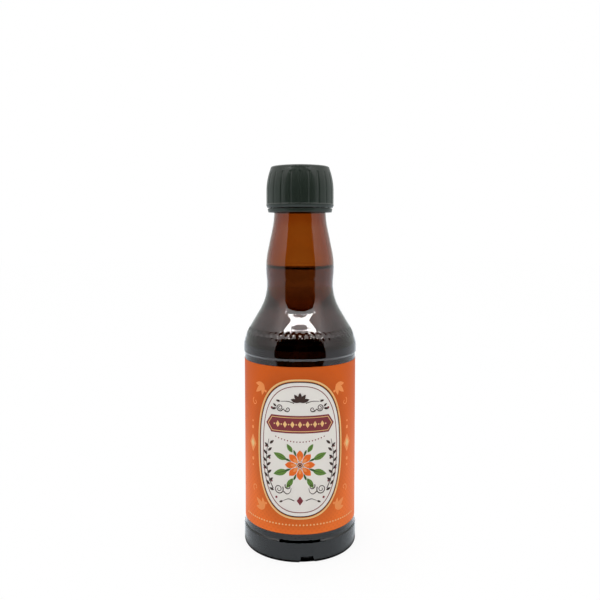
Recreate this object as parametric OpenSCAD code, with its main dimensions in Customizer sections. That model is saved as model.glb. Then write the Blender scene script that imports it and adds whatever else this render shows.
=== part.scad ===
// Bitters bottle: a round amber glass bottle of 200 ml with a wrap label, a dasher insert in its
// mouth and a fluted screw cap with a tamper band. Millimetres, +Z up. The origin is the centre
// of the base, on the surface that the bottle stands on, and the label faces -Y.

/* [Glass body] */
// Radius of the body at its heel, the widest place
body_r = 26.95; // [25:0.05:28]
// How far the shoulder stands in from the heel
shoulder_in = 0.15; // [0:0.05:0.3]
// How far the label panel stands in from the heel
panel_recess = 0.6; // [0.4:0.05:0.8]
// Height of the heel, from the table to the label panel
heel_h = 10.4; // [8:0.2:16]
// Radius of the rounded edge under the heel
heel_fillet = 1.7; // [1.6:0.1:4]
// Height of the straight label panel
panel_h = 82; // [78:0.5:100]
// Height of the sloping step at each end of the label panel
panel_step = 0.9; // [0.5:0.1:1.5]
// Height of the full-width band between the label panel and the turn of the shoulder
shoulder_band = 1.9; // [1:0.1:4]
// Thickness of the side wall
wall = 2.0; // [1.8:0.1:3]

/* [Shoulder and neck] */
// Height from the turn of the shoulder to the waist of the neck
shoulder_h = 30; // [28:0.2:34]
// Slope of the shoulder, from upright
shoulder_angle = 31; // [30:0.5:33]
// Radius of the rounded turn of the shoulder
shoulder_fillet = 17; // [10:0.5:18]
// Radius of the waist, the narrowest place under the neck's bulge
waist_r = 15.7; // [15.2:0.05:16.5]
// How far the bulge stands out from the waist
bulge_out = 0.42; // [0.3:0.01:0.45]
// Height from the waist to the fullest place of the bulge
bulge_h = 7.4; // [6.8:0.1:8]
// Height from the bulge to the foot of the finish
neck_h = 27.4; // [27:0.2:32]
// Slope of the neck, from upright
neck_angle = 12; // [11.6:0.1:13]
// Radius of the neck just under the finish
neck_r = 12.2; // [12:0.05:12.35]

/* [Base] */
// Width of the flat ring that the bottle stands on
bearing_w = 2.6; // [1.5:0.1:4]
// Height of the hollow under the base
punt_h = 3.2; // [1.5:0.1:5]
// Thickness of the glass floor
floor_t = 4.4; // [3:0.1:7]
// Radius of the rounded corner inside the base
inner_heel = 7; // [4:0.5:10]
// Width of the spotting notch at the table
notch_w = 7.2; // [3:0.1:9]
// Height of the spotting notch
notch_h = 3.2; // [1:0.1:4]
// How far the spotting notch reaches in from the heel's side
notch_depth = 2.2; // [1.5:0.1:3]
// Place of the spotting notch, turned from the label's middle
notch_angle = 7; // [0:1:90]

/* [Finish] */
// Height of the finish, from its foot to the sealing rim
finish_h = 16.8; // [16:0.2:20]
// Radius of the glass under the thread
thread_root_r = 12.55; // [12.4:0.05:12.9]
// Radius of the bead that the tamper band catches under
bead_r = 13.35; // [13.2:0.05:13.6]
// Height of that bead
bead_h = 1.9; // [1.2:0.1:2.4]
// Height from the foot of the finish to the bead
bead_rise = 0.6; // [0.4:0.05:1.6]
// Radius of the mouth's bore
bore_r = 9.8; // [9:0.05:10]
// Radius of the rounded edges of the sealing rim
rim_fillet = 0.7; // [0.4:0.1:1]

/* [Dasher insert] */
// Thickness of the flange on the rim
flange_t = 0.8; // [0.6:0.1:1.2]
// Radius of the flange
flange_r = 11.8; // [11:0.1:12.2]
// Depth of the plug below the rim
plug_h = 10; // [8:0.5:14]
// Wall of the plug
plug_wall = 1.1; // [0.8:0.1:1.6]
// Gap between the plug and the bore, which the sealing ribs close
plug_gap = 0.15; // [0.1:0.05:0.3]
// Number of sealing ribs
rib_count = 3; // [2:1:4]
// Height of each sealing rib
rib_h = 0.9; // [0.6:0.1:1.2]
// Depth of the drip tray below the rim
tray_depth = 2.8; // [2:0.1:4]
// Thickness of the drip tray
tray_t = 1; // [0.8:0.1:1.5]
// Outer radius of the dash spout
spout_r = 3; // [2.4:0.1:3.6]
// How much the spout narrows to its tip
spout_taper = 0.6; // [0.2:0.1:1]
// Radius of the dash orifice
orifice_r = 1.2; // [0.8:0.1:1.4]
// Radius of the vent hole
vent_r = 0.8; // [0.5:0.1:1]
// Wall of the vent tube
vent_wall = 0.5; // [0.4:0.1:0.6]
// Length of the vent tube under the drip tray
vent_len = 4.5; // [3:0.5:6]

/* [Cap] */
// Outer radius of the cap, over its flutes
cap_r = 15.85; // [15.7:0.05:17]
// Radius of the cap just under its top edge
cap_top_r = 13.95; // [13.8:0.05:15]
// Height of the barrel curve at the top of the cap's side
barrel_h = 10.5; // [8:0.5:13]
// Radius of the rounded top edge
cap_edge = 1.1; // [0.5:0.1:1.6]
// Thickness of the cap's top
cap_top_t = 1.5; // [1.2:0.1:2]
// Inner radius of the cap's skirt, over the thread
cap_bore_r = 14.05; // [13.95:0.05:14.2]
// Inner radius of the cap round the liner
seat_r = 13.1; // [12.8:0.05:13.5]
// Height over which the skirt narrows from the one to the other
seat_taper = 3; // [1:0.1:5]
// Number of grip flutes
flute_count = 22; // [16:1:30]
// Radius of the round cutter that makes a flute
flute_r = 0.95; // [0.5:0.05:1.2]
// Depth of a flute
flute_depth = 0.2; // [0.1:0.05:0.6]
// Height from the upper end of the flutes to the cap's top
flute_stop = 3.4; // [1.8:0.1:4]
// How far the lip stands out at the foot of the skirt
lip_out = 0.12; // [0.05:0.01:0.3]
// Height of that lip
lip_h = 1.7; // [1.3:0.1:2.2]
// Height of the chamfer under the lip
foot_h = 1.1; // [0.4:0.1:1.3]
// How far that chamfer comes in at the cap's foot
foot_in = 0.4; // [0.1:0.05:0.6]
// Thickness of the sealing liner
liner_t = 1.2; // [0.8:0.1:1.6]
// Radius of the sealing liner
liner_r = 12.9; // [12.5:0.05:13]

/* [Tamper band] */
// Height of the tamper band
band_h = 1.65; // [1.2:0.05:1.8]
// Outer radius of the band at its top
band_r = 15.35; // [15.1:0.05:15.6]
// How much the band narrows to its foot
band_taper = 0.35; // [0.2:0.05:0.6]
// Inner radius of the band
band_bore_r = 14.2; // [14:0.05:14.4]
// Radius of the hole that the catch flap leaves for the neck
flap_r = 12.75; // [12.65:0.05:12.95]
// Thickness of the catch flap
flap_t = 0.5; // [0.4:0.05:0.6]
// Height of the cut between the band and the cap
band_cut = 0.5; // [0.45:0.05:1]
// Number of break bridges left on the band
bridge_count = 10; // [6:1:14]
// Width of a break bridge
bridge_w = 0.9; // [0.5:0.1:1.4]

/* [Label and filling] */
// Thickness of the label
label_t = 0.15; // [0.08:0.01:0.2]
// Thickness of the glue film under the label
glue_t = 0.03; // [0.01:0.01:0.1]
// Space between the label's top edge and the top of the panel
label_drop = 2.6; // [1:0.1:6]
// Space between the label's bottom edge and the foot of the panel
label_rise = 3; // [1:0.1:6]
// Width of the gap between the label's ends, at the back
label_gap = 4.2; // [2:0.1:12]
// Height of the filling above the fullest place of the bulge
fill_rise = -0.4; // [-4:0.1:6]

/* [Hidden] */
$fn = 96;
ARC_STEPS = 9;    // straight pieces along each rounded stretch of an outline
notch_share = 0.54;    // width of the spotting notch at its top, as a share of its width at the table
loose_gap = 0.3;    // clearance between pieces that move on each other
fill_gap = 0.1;    // clearance between the filling and the glass
overrun = 1;    // how far a cutter runs past the face that it cuts

shoulder_r = body_r - shoulder_in;
panel_r = body_r - panel_recess;
panel_top_z = heel_h + panel_h;
turn_z = panel_top_z + panel_step + shoulder_band;
waist_z = turn_z + shoulder_h;
bulge_z = waist_z + bulge_h;
bulge_r = waist_r + bulge_out;
finish_z = bulge_z + neck_h;
bead_z = finish_z + bead_rise;
rim_z = finish_z + finish_h;
fill_z = bulge_z + fill_rise;
liner_z = rim_z + flange_t;
seat_z = liner_z - flange_t;
ceiling_z = liner_z + liner_t;
cap_z = ceiling_z + cap_top_t;
flap_top_z = bead_z - loose_gap;
band_top_z = bead_z - loose_gap / 2;
band_z = band_top_z - band_h;
skirt_z = band_top_z + band_cut;
lip_z = skirt_z + lip_h;

// Points of an arc in the half plane: centre [r, z], radius, and the angles that it runs between.
function arc(centre, radius, from, to) =
    [for (i = [0 : ARC_STEPS]) let (a = from + (to - from) * i / ARC_STEPS)
        centre + radius * [cos(a), sin(a)]];

// Sum of the two radii that round a straight slope off to upright at both ends, for a slope of the
// given angle that narrows by run over a height of rise.
function slope_radii(run, rise, angle) = (tan(angle) * rise - run) * cos(angle) / (1 - cos(angle));

// The line of the glass from the turn of the shoulder to the finish: a rounded turn, a straight
// slope, the hollow of the waist, the bulge and the neck, all tangent to each other.
function shoulder_line(side_r, low_r, full_r, top_r, turn) =
    let (hollow = slope_radii(side_r - low_r, shoulder_h, shoulder_angle) - turn,
         out = full_r - low_r,
         bulge = (out * out + bulge_h * bulge_h) / (2 * out) - hollow,
         sweep = asin(bulge_h / (hollow + bulge)),
         throat = slope_radii(full_r - top_r, neck_h, neck_angle) - bulge)
    concat(
        arc([side_r - turn, turn_z], turn, 0, shoulder_angle),
        arc([low_r + hollow, waist_z], hollow, 180 + shoulder_angle, 180 - sweep),
        arc([full_r - bulge, bulge_z], bulge, -sweep, neck_angle),
        arc([top_r + throat, finish_z], throat, 180 + neck_angle, 180));

// A shallow dome from the middle, rise above edge_z, out to its edge.
function dome(edge_r, edge_z, rise) =
    let (radius = (edge_r * edge_r + rise * rise) / (2 * rise), half = asin(edge_r / radius))
    [for (i = [0 : ARC_STEPS]) let (a = half * i / ARC_STEPS)
        [radius * sin(a), edge_z + rise - radius * (1 - cos(a))]];

glass_outline = concat(
    dome(body_r - heel_fillet - bearing_w, 0, punt_h),
    arc([body_r - heel_fillet, heel_fillet], heel_fillet, -90, 0),
    [[body_r, heel_h - panel_step],
     [panel_r, heel_h],
     [panel_r, panel_top_z],
     [shoulder_r, panel_top_z + panel_step]],
    shoulder_line(shoulder_r, waist_r, bulge_r, neck_r, shoulder_fillet),
    [[neck_r, bead_z],
     [bead_r, bead_z],
     [bead_r, bead_z + bead_h / 2],
     [thread_root_r, bead_z + bead_h]],
    arc([thread_root_r - rim_fillet, rim_z - rim_fillet], rim_fillet, 0, 90),
    arc([bore_r + rim_fillet, rim_z - rim_fillet], rim_fillet, 90, 180));

// Outline of the space inside the glass, in two stretches: the floor with its rounded corner, and
// the shoulder and neck.
cavity_r = panel_r - wall;
cavity_rise = punt_h / 2;
cavity_floor = concat(
    dome(cavity_r - inner_heel, floor_t + cavity_rise, cavity_rise),
    arc([cavity_r - inner_heel, floor_t + cavity_rise + inner_heel], inner_heel, -90, 0));
cavity_side = shoulder_line(cavity_r, waist_r - wall, bulge_r - wall, bore_r, shoulder_fillet - wall);

module cavity() {
    rotate_extrude()
        polygon(concat(cavity_floor, cavity_side, [[bore_r, rim_z], [0, rim_z]]));
}

// The notch that a labelling machine feels for, in the edge of the heel.
module spotting_notch() {
    top_w = notch_w * notch_share;
    rotate([0, 0, notch_angle])
        translate([0, notch_depth - body_r, 0])
            rotate([90, 0, 0])
                linear_extrude(notch_depth + overrun)
                    polygon([[-notch_w / 2, -overrun], [notch_w / 2, -overrun], [notch_w / 2, 0],
                             [top_w / 2, notch_h], [-top_w / 2, notch_h], [-notch_w / 2, 0]]);
}

module bottle_glass() {
    color("#7a3a10", 0.6)
        difference() {
            rotate_extrude()
                polygon(concat(glass_outline, [[0, rim_z - rim_fillet]]));
            cavity();
            spotting_notch();
        }
}

// The filling follows the space inside the glass, a fill gap away from it, up to the fill height.
module bitters() {
    color("#3a1206")
        intersection() {
            rotate_extrude()
                polygon(concat(
                    [for (p = cavity_floor) [max(p[0] - fill_gap, 0), p[1] + fill_gap]],
                    [for (p = cavity_side) [p[0] - fill_gap, p[1]]],
                    [[0, finish_z]]));
            cylinder(h = fill_z, r = body_r);
        }
}

// One wrap of paper on the label panel, with its two ends a gap apart at the back.
module label() {
    inner_r = panel_r + glue_t;
    gap_angle = label_gap / inner_r * 180 / PI;
    height = panel_h - label_rise - label_drop;
    color("#d0602a")
        translate([0, 0, heel_h + label_rise])
            rotate([0, 0, 90 + gap_angle / 2])
                rotate_extrude(angle = 360 - gap_angle)
                    translate([inner_r, 0])
                        square([label_t, height]);
}

plug_r = bore_r - plug_gap;
plug_bore_r = plug_r - plug_wall;
tray_z = rim_z - tray_depth;
vent_x = (spout_r + plug_bore_r) / 2;
rib_pitch = (plug_h - rim_fillet) / (rib_count + 1);

// One of the ribs that grip the bore, steeper below than above so that the plug goes in easily.
module sealing_rib(z) {
    translate([0, 0, z])
        rotate_extrude()
            polygon([[plug_bore_r, -rib_h / 2], [plug_r, -rib_h / 2], [bore_r, 0],
                     [bore_r, rib_h / 4], [plug_r, rib_h / 2], [plug_bore_r, rib_h / 2]]);
}

// The plug that meters the bitters: a flange on the rim, a ribbed wall in the bore, and a drip
// tray that carries the spout and its vent.
module dasher_insert() {
    vent_z = tray_z - tray_t - vent_len;
    color("#e8e6dc")
        difference() {
            union() {
                rotate_extrude()
                    polygon([[plug_bore_r, rim_z - plug_h], [plug_bore_r + plug_wall / 2, rim_z - plug_h],
                             [plug_r, rim_z - plug_h + plug_wall], [plug_r, rim_z], [flange_r, rim_z],
                             [flange_r, rim_z + flange_t / 2], [flange_r - flange_t / 2, rim_z + flange_t],
                             [plug_bore_r, rim_z + flange_t]]);
                for (i = [1 : rib_count])
                    sealing_rib(rim_z - rim_fillet - i * rib_pitch + rib_pitch / 2);
                translate([0, 0, tray_z - tray_t])
                    cylinder(h = tray_t, r = plug_bore_r + plug_wall / 2);
                translate([0, 0, tray_z - tray_t])
                    cylinder(h = tray_depth + tray_t, r1 = spout_r, r2 = spout_r - spout_taper);
                translate([vent_x, 0, vent_z])
                    cylinder(h = vent_len + tray_t / 2, r = vent_r + vent_wall);
            }
            translate([0, 0, tray_z - tray_t - overrun])
                cylinder(h = tray_depth + tray_t + 2 * overrun, r = orifice_r);
            translate([vent_x, 0, vent_z - overrun])
                cylinder(h = vent_len + tray_t + 2 * overrun, r = vent_r);
        }
}

barrel_drop = cap_r - cap_top_r;
barrel_curve = (barrel_drop * barrel_drop + barrel_h * barrel_h) / (2 * barrel_drop);
barrel_z = cap_z - cap_edge - barrel_h;
flute_cut_r = cap_r + flute_r - flute_depth;

// One grip flute: the path of a ball cutter that goes straight up the side and then follows the
// barrel curve, always to the same depth.
module grip_flute() {
    reach = flute_cut_r - cap_r + barrel_curve;
    sweep = asin((cap_z - flute_stop - barrel_z) / reach);
    rotate([0, 0, -90]) {
        translate([flute_cut_r, 0, lip_z])
            cylinder(h = barrel_z - lip_z, r = flute_r);
        translate([cap_r - barrel_curve, 0, barrel_z])
            rotate([90, 0, 0])
                rotate_extrude(angle = sweep)
                    translate([reach, 0])
                        circle(r = flute_r);
    }
}

module cap_shell() {
    barrel_top = asin(barrel_h / barrel_curve);
    color("#2f3a37")
        difference() {
            rotate_extrude()
                polygon(concat(
                    [[0, skirt_z], [cap_r - foot_in, skirt_z], [cap_r + lip_out, skirt_z + foot_h],
                     [cap_r + lip_out, lip_z - lip_out], [cap_r, lip_z]],
                    arc([cap_r - barrel_curve, barrel_z], barrel_curve, 0, barrel_top),
                    arc([cap_top_r - cap_edge, cap_z - cap_edge], cap_edge, barrel_top, 90),
                    [[0, cap_z]]));
            rotate_extrude()
                polygon([[0, skirt_z - overrun], [cap_bore_r, skirt_z - overrun],
                         [cap_bore_r, seat_z - seat_taper], [seat_r, seat_z], [seat_r, ceiling_z],
                         [0, ceiling_z]]);
            for (i = [0 : flute_count - 1])
                rotate([0, 0, i * 360 / flute_count])
                    grip_flute();
        }
}

module cap_liner() {
    color("#f2f0ea")
        translate([0, 0, liner_z])
            cylinder(h = liner_t, r = liner_r);
}

// The ring that stays on the neck when the cap is first turned, with a flap folded in under the
// bead and the stubs of the bridges that joined it to the cap.
module tamper_band() {
    bridge_in_r = (band_r + band_bore_r - flap_t) / 2;
    bridge_h = band_cut - loose_gap;
    color("#2f3a37") {
        rotate_extrude()
            polygon([[band_r - band_taper, band_z], [band_r, band_top_z], [band_bore_r, band_top_z],
                     [band_bore_r, flap_top_z], [flap_r, flap_top_z],
                     [flap_r, flap_top_z - flap_t], [band_bore_r, band_z]]);
        for (i = [0 : bridge_count - 1])
            rotate([0, 0, (i + 1 / 2) * 360 / bridge_count])
                translate([bridge_in_r, -bridge_w / 2, band_top_z - bridge_h])
                    cube([flap_t, bridge_w, 2 * bridge_h]);
    }
}

bottle_glass();
dasher_insert();
tamper_band();
cap_liner();
cap_shell();
label();
bitters();
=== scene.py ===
"""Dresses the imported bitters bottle: amber glass, its dark filling, a printed wrap label and a fluted cap.

Lengths are metres and +Z is up. The middle of the label faces -Y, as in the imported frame, and artwork on
the label is placed by its distance round the bottle from that middle and its height on the paper.
"""

import logging
import math
from collections.abc import Callable, Sequence
from dataclasses import dataclass, field
from enum import Enum

import bmesh
import bpy
from mathutils import Matrix, Vector, geometry

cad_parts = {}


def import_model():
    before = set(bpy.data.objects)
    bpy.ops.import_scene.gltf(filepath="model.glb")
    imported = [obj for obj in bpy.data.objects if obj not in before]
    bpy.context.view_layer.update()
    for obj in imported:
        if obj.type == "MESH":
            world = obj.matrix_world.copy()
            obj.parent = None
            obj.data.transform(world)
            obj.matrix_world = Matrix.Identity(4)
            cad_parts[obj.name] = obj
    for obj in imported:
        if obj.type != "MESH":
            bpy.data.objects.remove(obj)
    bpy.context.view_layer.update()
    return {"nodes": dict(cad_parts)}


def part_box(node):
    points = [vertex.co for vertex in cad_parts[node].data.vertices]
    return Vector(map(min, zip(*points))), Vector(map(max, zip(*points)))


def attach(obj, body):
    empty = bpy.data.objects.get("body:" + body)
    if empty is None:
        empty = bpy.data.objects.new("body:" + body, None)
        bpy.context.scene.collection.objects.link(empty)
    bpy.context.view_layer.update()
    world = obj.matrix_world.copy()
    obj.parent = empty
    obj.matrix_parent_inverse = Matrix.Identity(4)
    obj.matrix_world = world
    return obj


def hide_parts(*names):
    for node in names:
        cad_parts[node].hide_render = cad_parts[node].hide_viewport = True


LOG = logging.getLogger("bottle")
MM = 0.001
FULL_TURN = 2 * math.pi
FRONT = -math.pi / 2
ON_AXIS = 1e-7

Point = tuple[float, float]
Outline = list[Point]
Edge = tuple[float, float]
Colour = tuple[float, float, float]
Shape = list[Outline]
WHITE: Colour = (1.0, 1.0, 1.0)


class Body(str, Enum):
    """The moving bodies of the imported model."""

    BOTTLE = "bottle"
    BAND = "band"
    LINER = "liner"
    CAP = "cap"


class Slot(str, Enum):
    """The record's material slots that the pieces built here fill."""

    GLASS = "amber_glass"
    CAP = "cap_plastic"
    LINER = "liner_foam"
    PAPER = "label_paper"
    FILLING = "bitters_liquid"


class Coordinates(str, Enum):
    """What a shader takes x, y and z from."""

    POINT = "Object"
    DIRECTION = "Generated"


class Ray(str, Enum):
    """The kinds of ray that the studio's materials tell apart."""

    CAMERA = "Is Camera Ray"
    MIRRORED = "Is Glossy Ray"
    SEEN_THROUGH = "Is Transmission Ray"


def colour(red: int, green: int, blue: int) -> Colour:
    """Turns a colour as it is seen on a screen into the linear colour that shaders take.

    Args:
        red: Red from 0 to 255.
        green: Green from 0 to 255.
        blue: Blue from 0 to 255.

    Returns:
        The linear red, green and blue from 0 to 1.
    """

    def linear(value: float) -> float:
        """Returns one channel, from 0 to 1, without the screen's curve."""
        return value / 12.92 if value <= 0.04045 else ((value + 0.055) / 1.055) ** 2.4

    return linear(red / 255), linear(green / 255), linear(blue / 255)


# Shader maths


class Number:
    """A shader socket that carries a value. Python's operators on it add Math nodes."""

    def __init__(self, shader: "Shader", socket: bpy.types.NodeSocket) -> None:
        """Wraps an output socket of a shader."""
        self.shader = shader
        self.socket = socket

    def _math(self, operation: str, first: object, second: object) -> "Number":
        """Returns the result of a Math node's operation on two values, each a Number or a plain number."""
        node = self.shader.node("ShaderNodeMath", {"operation": operation}, {0: first, 1: second})
        return Number(self.shader, node.outputs[0])

    def __add__(self, other: object) -> "Number":
        """Returns self + other."""
        return self._math("ADD", self, other)

    def __radd__(self, other: object) -> "Number":
        """Returns other + self."""
        return self._math("ADD", other, self)

    def __sub__(self, other: object) -> "Number":
        """Returns self - other."""
        return self._math("SUBTRACT", self, other)

    def __rsub__(self, other: object) -> "Number":
        """Returns other - self."""
        return self._math("SUBTRACT", other, self)

    def __mul__(self, other: object) -> "Number":
        """Returns self * other."""
        return self._math("MULTIPLY", self, other)

    def __rmul__(self, other: object) -> "Number":
        """Returns other * self."""
        return self._math("MULTIPLY", other, self)

    def __truediv__(self, other: object) -> "Number":
        """Returns self / other."""
        return self._math("DIVIDE", self, other)

    def __pow__(self, other: object) -> "Number":
        """Returns self ** other."""
        return self._math("POWER", self, other)

    def __neg__(self) -> "Number":
        """Returns self with its sign turned."""
        return self._math("MULTIPLY", self, -1.0)

    def __abs__(self) -> "Number":
        """Returns the size of self without its sign."""
        return self._math("ABSOLUTE", self, 0.0)

    def sine(self) -> "Number":
        """Returns the sine of self in radians."""
        return self._math("SINE", self, 0.0)

    def highest(self, other: object) -> "Number":
        """Returns the larger of self and other."""
        return self._math("MAXIMUM", self, other)

    def angle_from(self, other: object) -> "Number":
        """Returns the angle in radians whose tangent is self / other."""
        return self._math("ARCTAN2", self, other)

    def step(self, start: float, end: float) -> "Number":
        """Rises smoothly from 0 to 1.

        Args:
            start: The value of self that gives 0.
            end: The value of self that gives 1.

        Returns:
            The smooth step.
        """
        node = self.shader.node(
            "ShaderNodeMapRange", {"interpolation_type": "SMOOTHSTEP"}, {0: self, 1: start, 2: end}
        )
        return Number(self.shader, node.outputs[0])


class Shader:
    """The node tree of a material or of the world."""

    MIX_FIRST = 6
    MIX_SECOND = 7
    MIX_RESULT = 2

    def __init__(self, owner: bpy.types.Material | bpy.types.World) -> None:
        """Empties the owner's node tree.

        Args:
            owner: The material or world to write.
        """
        owner.use_nodes = True
        self.tree = owner.node_tree
        self.tree.nodes.clear()

    def node(self, kind: str, settings: dict | None = None, sockets: dict | None = None) -> bpy.types.Node:
        """Adds a node.

        Args:
            kind: The node's type.
            settings: The node's own settings, which are set first.
            sockets: A value, a Number or an output socket for each input, by name or by index.

        Returns:
            The new node.
        """
        made = self.tree.nodes.new(kind)
        for name, value in (settings or {}).items():
            setattr(made, name, value)
        for key, value in (sockets or {}).items():
            self._feed(made.inputs[key], value)
        return made

    def _feed(self, socket: bpy.types.NodeSocket, value: object) -> None:
        """Links or sets an input.

        Args:
            socket: The input.
            value: A Number or an output socket to link, or a plain value to set.
        """
        if isinstance(value, Number):
            self.tree.links.new(value.socket, socket)
        elif isinstance(value, bpy.types.NodeSocket):
            self.tree.links.new(value, socket)
        elif isinstance(value, tuple) and len(value) == 3 and socket.type == "RGBA":
            socket.default_value = (*value, 1.0)
        else:
            socket.default_value = value

    def mixed(self, share: object, first: object, second: object) -> bpy.types.NodeSocket:
        """Returns the first colour with a share of the second mixed in. Each may be plain or linked."""
        sockets = {0: share, self.MIX_FIRST: first, self.MIX_SECOND: second}
        return self.node("ShaderNodeMix", {"data_type": "RGBA"}, sockets).outputs[self.MIX_RESULT]

    def blend(self, share: Number, first: bpy.types.Node, second: bpy.types.Node) -> bpy.types.Node:
        """Returns a shader that blends two others, with a share of the second."""
        sockets = {0: share, 1: first.outputs[0], 2: second.outputs[0]}
        return self.node("ShaderNodeMixShader", sockets=sockets)

    def split(self, coordinates: Coordinates = Coordinates.POINT) -> tuple[Number, Number, Number]:
        """Takes coordinates apart.

        Args:
            coordinates: The point being shaded, or the direction in which the world is seen.

        Returns:
            Their x, y and z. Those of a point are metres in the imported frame.
        """
        where = self.node("ShaderNodeTexCoord").outputs[coordinates.value]
        parts = self.node("ShaderNodeSeparateXYZ", sockets={0: where}).outputs
        return tuple(Number(self, parts[axis]) for axis in range(3))

    def ray(self, kind: Ray) -> Number:
        """Returns 1 for rays of that kind, and else 0."""
        return Number(self, self.node("ShaderNodeLightPath").outputs[kind.value])

    def noise(
        self, size: float, detail: float = 2.0, stretch: tuple[float, float, float] = (1.0, 1.0, 1.0)
    ) -> Number:
        """Adds a noise that is fixed to the object.

        Args:
            size: The length of its blotches in metres.
            detail: How many finer layers it has.
            stretch: How much finer it is along x, y and z.

        Returns:
            The noise, about 0 to 1.
        """
        where = self.node("ShaderNodeTexCoord").outputs["Object"]
        scaled = self.node("ShaderNodeMapping", sockets={"Vector": where, "Scale": stretch})
        sockets = {"Vector": scaled.outputs[0], "Scale": 1 / size, "Detail": detail}
        return Number(self, self.node("ShaderNodeTexNoise", sockets=sockets).outputs[0])

    def bump(self, height: Number, depth: float, strength: float = 1.0) -> bpy.types.NodeSocket:
        """Returns the normal of a surface whose height, from 0 to 1, stands for a depth in metres."""
        sockets = {"Height": height, "Distance": depth, "Strength": strength}
        return self.node("ShaderNodeBump", sockets=sockets).outputs[0]

    def stain(self, shade: Colour, density: float) -> bpy.types.Node:
        """Returns a shader that colours light the more, the deeper the body is that it passes through."""
        return self.node("ShaderNodeVolumeAbsorption", sockets={"Color": shade, "Density": density})

    def surface(self, sockets: dict, inside: bpy.types.Node | None = None) -> None:
        """Makes a Principled shader with those inputs the surface, and another shader the inside."""
        self.show(self.node("ShaderNodeBsdfPrincipled", sockets=sockets), inside)

    def show(self, surface: bpy.types.Node, inside: bpy.types.Node | None = None) -> None:
        """Connects the material's output.

        Args:
            surface: The surface's shader.
            inside: The shader of the space inside, if light changes there.
        """
        sockets = {"Surface": surface.outputs[0]}
        if inside:
            sockets["Volume"] = inside.outputs[0]
        self.node("ShaderNodeOutputMaterial", sockets=sockets)


def flat_length(x: Number, y: Number) -> Number:
    """Returns the length of (x, y), kept a little over 0, so that it can be divided by."""
    return (x * x + y * y).highest(1e-6) ** 0.5


def material(name: str) -> tuple[bpy.types.Material, Shader]:
    """Returns a new material of that name and its empty shader."""
    made = bpy.data.materials.new(name)
    return made, Shader(made)


# Finishes


@dataclass(frozen=True)
class AmberGlass:
    """Amber container glass, which browns what is seen through it the more, the thicker it is."""

    tint: Colour = (0.95, 0.90, 0.85)
    dust_tint: Colour = (0.88, 0.83, 0.78)
    dust_share: float = 0.25
    dust_size: float = 1.4 * MM
    stain: Colour = (0.808, 0.570, 0.176)
    density: float = 1500.0
    index: float = 1.52
    ripple: float = 0.012 * MM
    ripple_size: float = 16 * MM
    ripple_upright: float = 0.45

    def material(self) -> bpy.types.Material:
        """Makes the material, with the slight waves of blown glass and a faint film of dust.

        Returns:
            The material.
        """
        made, shader = material("amber_glass")
        waves = shader.noise(self.ripple_size, detail=1.0, stretch=(1.0, 1.0, self.ripple_upright))
        dust = shader.noise(self.dust_size, detail=4.0)
        shader.surface({
            "Base Color": shader.mixed(dust * self.dust_share, self.tint, self.dust_tint),
            "Roughness": dust * 0.02,
            "IOR": self.index,
            "Transmission Weight": 1.0,
            "Normal": shader.bump(waves, self.ripple),
        }, shader.stain(self.stain, self.density))
        return made


@dataclass(frozen=True)
class Liquid:
    """The dark filling. What is seen through it fades with the depth of the liquid."""

    stain: Colour = (0.13, 0.08, 0.5)
    density: float = 60.0
    index: float = 1.36
    clear: Colour = (0.97, 0.95, 0.93)
    dense: Colour = (0.12, 0.10, 0.08)
    dense_below: float = 101 * MM
    clear_above: float = 112.5 * MM
    haze_size: float = 6 * MM
    haze_depth: float = 2 * MM

    def material(self) -> bpy.types.Material:
        """Makes the material, dark where the bottle is wide and clearer towards the neck.

        Returns:
            The material.
        """
        made, shader = material("bitters_liquid")
        haze = shader.noise(self.haze_size)
        height = shader.split()[2] + (haze - 0.5) * self.haze_depth
        clearer = height.step(self.dense_below, self.clear_above)
        shader.surface({
            "Base Color": shader.mixed(clearer, self.dense, self.clear),
            "Roughness": 0.0,
            "IOR": self.index,
            "Transmission Weight": 1.0,
        }, shader.stain(self.stain, self.density))
        return made


@dataclass(frozen=True)
class MouldedPlastic:
    """Satin moulded plastic of one colour, with a fine grain, faint scuffs and rims that are worn smooth."""

    name: str
    shade: Colour
    roughness: float = 0.3
    scuff: float = 0.12
    scuff_size: float = 1.1 * MM
    scuff_upright: float = 0.3
    cloud_size: float = 7 * MM
    grain: float = 0.006 * MM
    grain_size: float = 0.22 * MM
    milky: float = 0.0
    shine: float = 0.5
    coat: float = 0.0
    rims: tuple[float, ...] = ()
    rim_coat: float = 0.7
    rim_reach: float = 0.2 * MM
    rim_fade: float = 0.35 * MM

    def material(self) -> bpy.types.Material:
        """Makes the material.

        Returns:
            The material.
        """
        made, shader = material(self.name)
        cloud = shader.noise(self.cloud_size, detail=3.0)
        fine = shader.noise(self.grain_size, detail=2.0)
        streaks = (1.0, 1.0, self.scuff_upright)
        scuffs = shader.noise(self.scuff_size, detail=5.0, stretch=streaks).step(0.55, 0.8)
        lighter = tuple(channel * 1.25 + 0.002 for channel in self.shade)
        height = shader.split()[2]
        coat = scuffs * -0.2 * self.coat + self.coat
        for level in self.rims:
            away = abs(height - level).step(self.rim_reach, self.rim_fade)
            coat = coat.highest(self.rim_coat - self.rim_coat * away)
        shader.surface({
            "Base Color": shader.mixed(cloud * 0.6 + scuffs * self.scuff, self.shade, lighter),
            "Roughness": self.roughness + scuffs * self.scuff + (fine - 0.5) * 0.05,
            "Specular IOR Level": self.shine,
            "Coat Weight": coat,
            "Coat Roughness": 0.08,
            "Subsurface Weight": self.milky,
            "Subsurface Radius": (1.0, 0.9, 0.8),
            "Subsurface Scale": 1.5 * MM,
            "Normal": shader.bump(fine, self.grain),
        })
        return made


def closure_plastic(name: str, rims: tuple[float, ...] = ()) -> bpy.types.Material:
    """Returns the near-black plastic of the cap and its band, worn smooth at the heights of its rims."""
    shade = (0.0086, 0.0154, 0.0100)
    return MouldedPlastic(name, shade, roughness=0.5, shine=0.21, coat=0.36, rims=rims).material()


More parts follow.
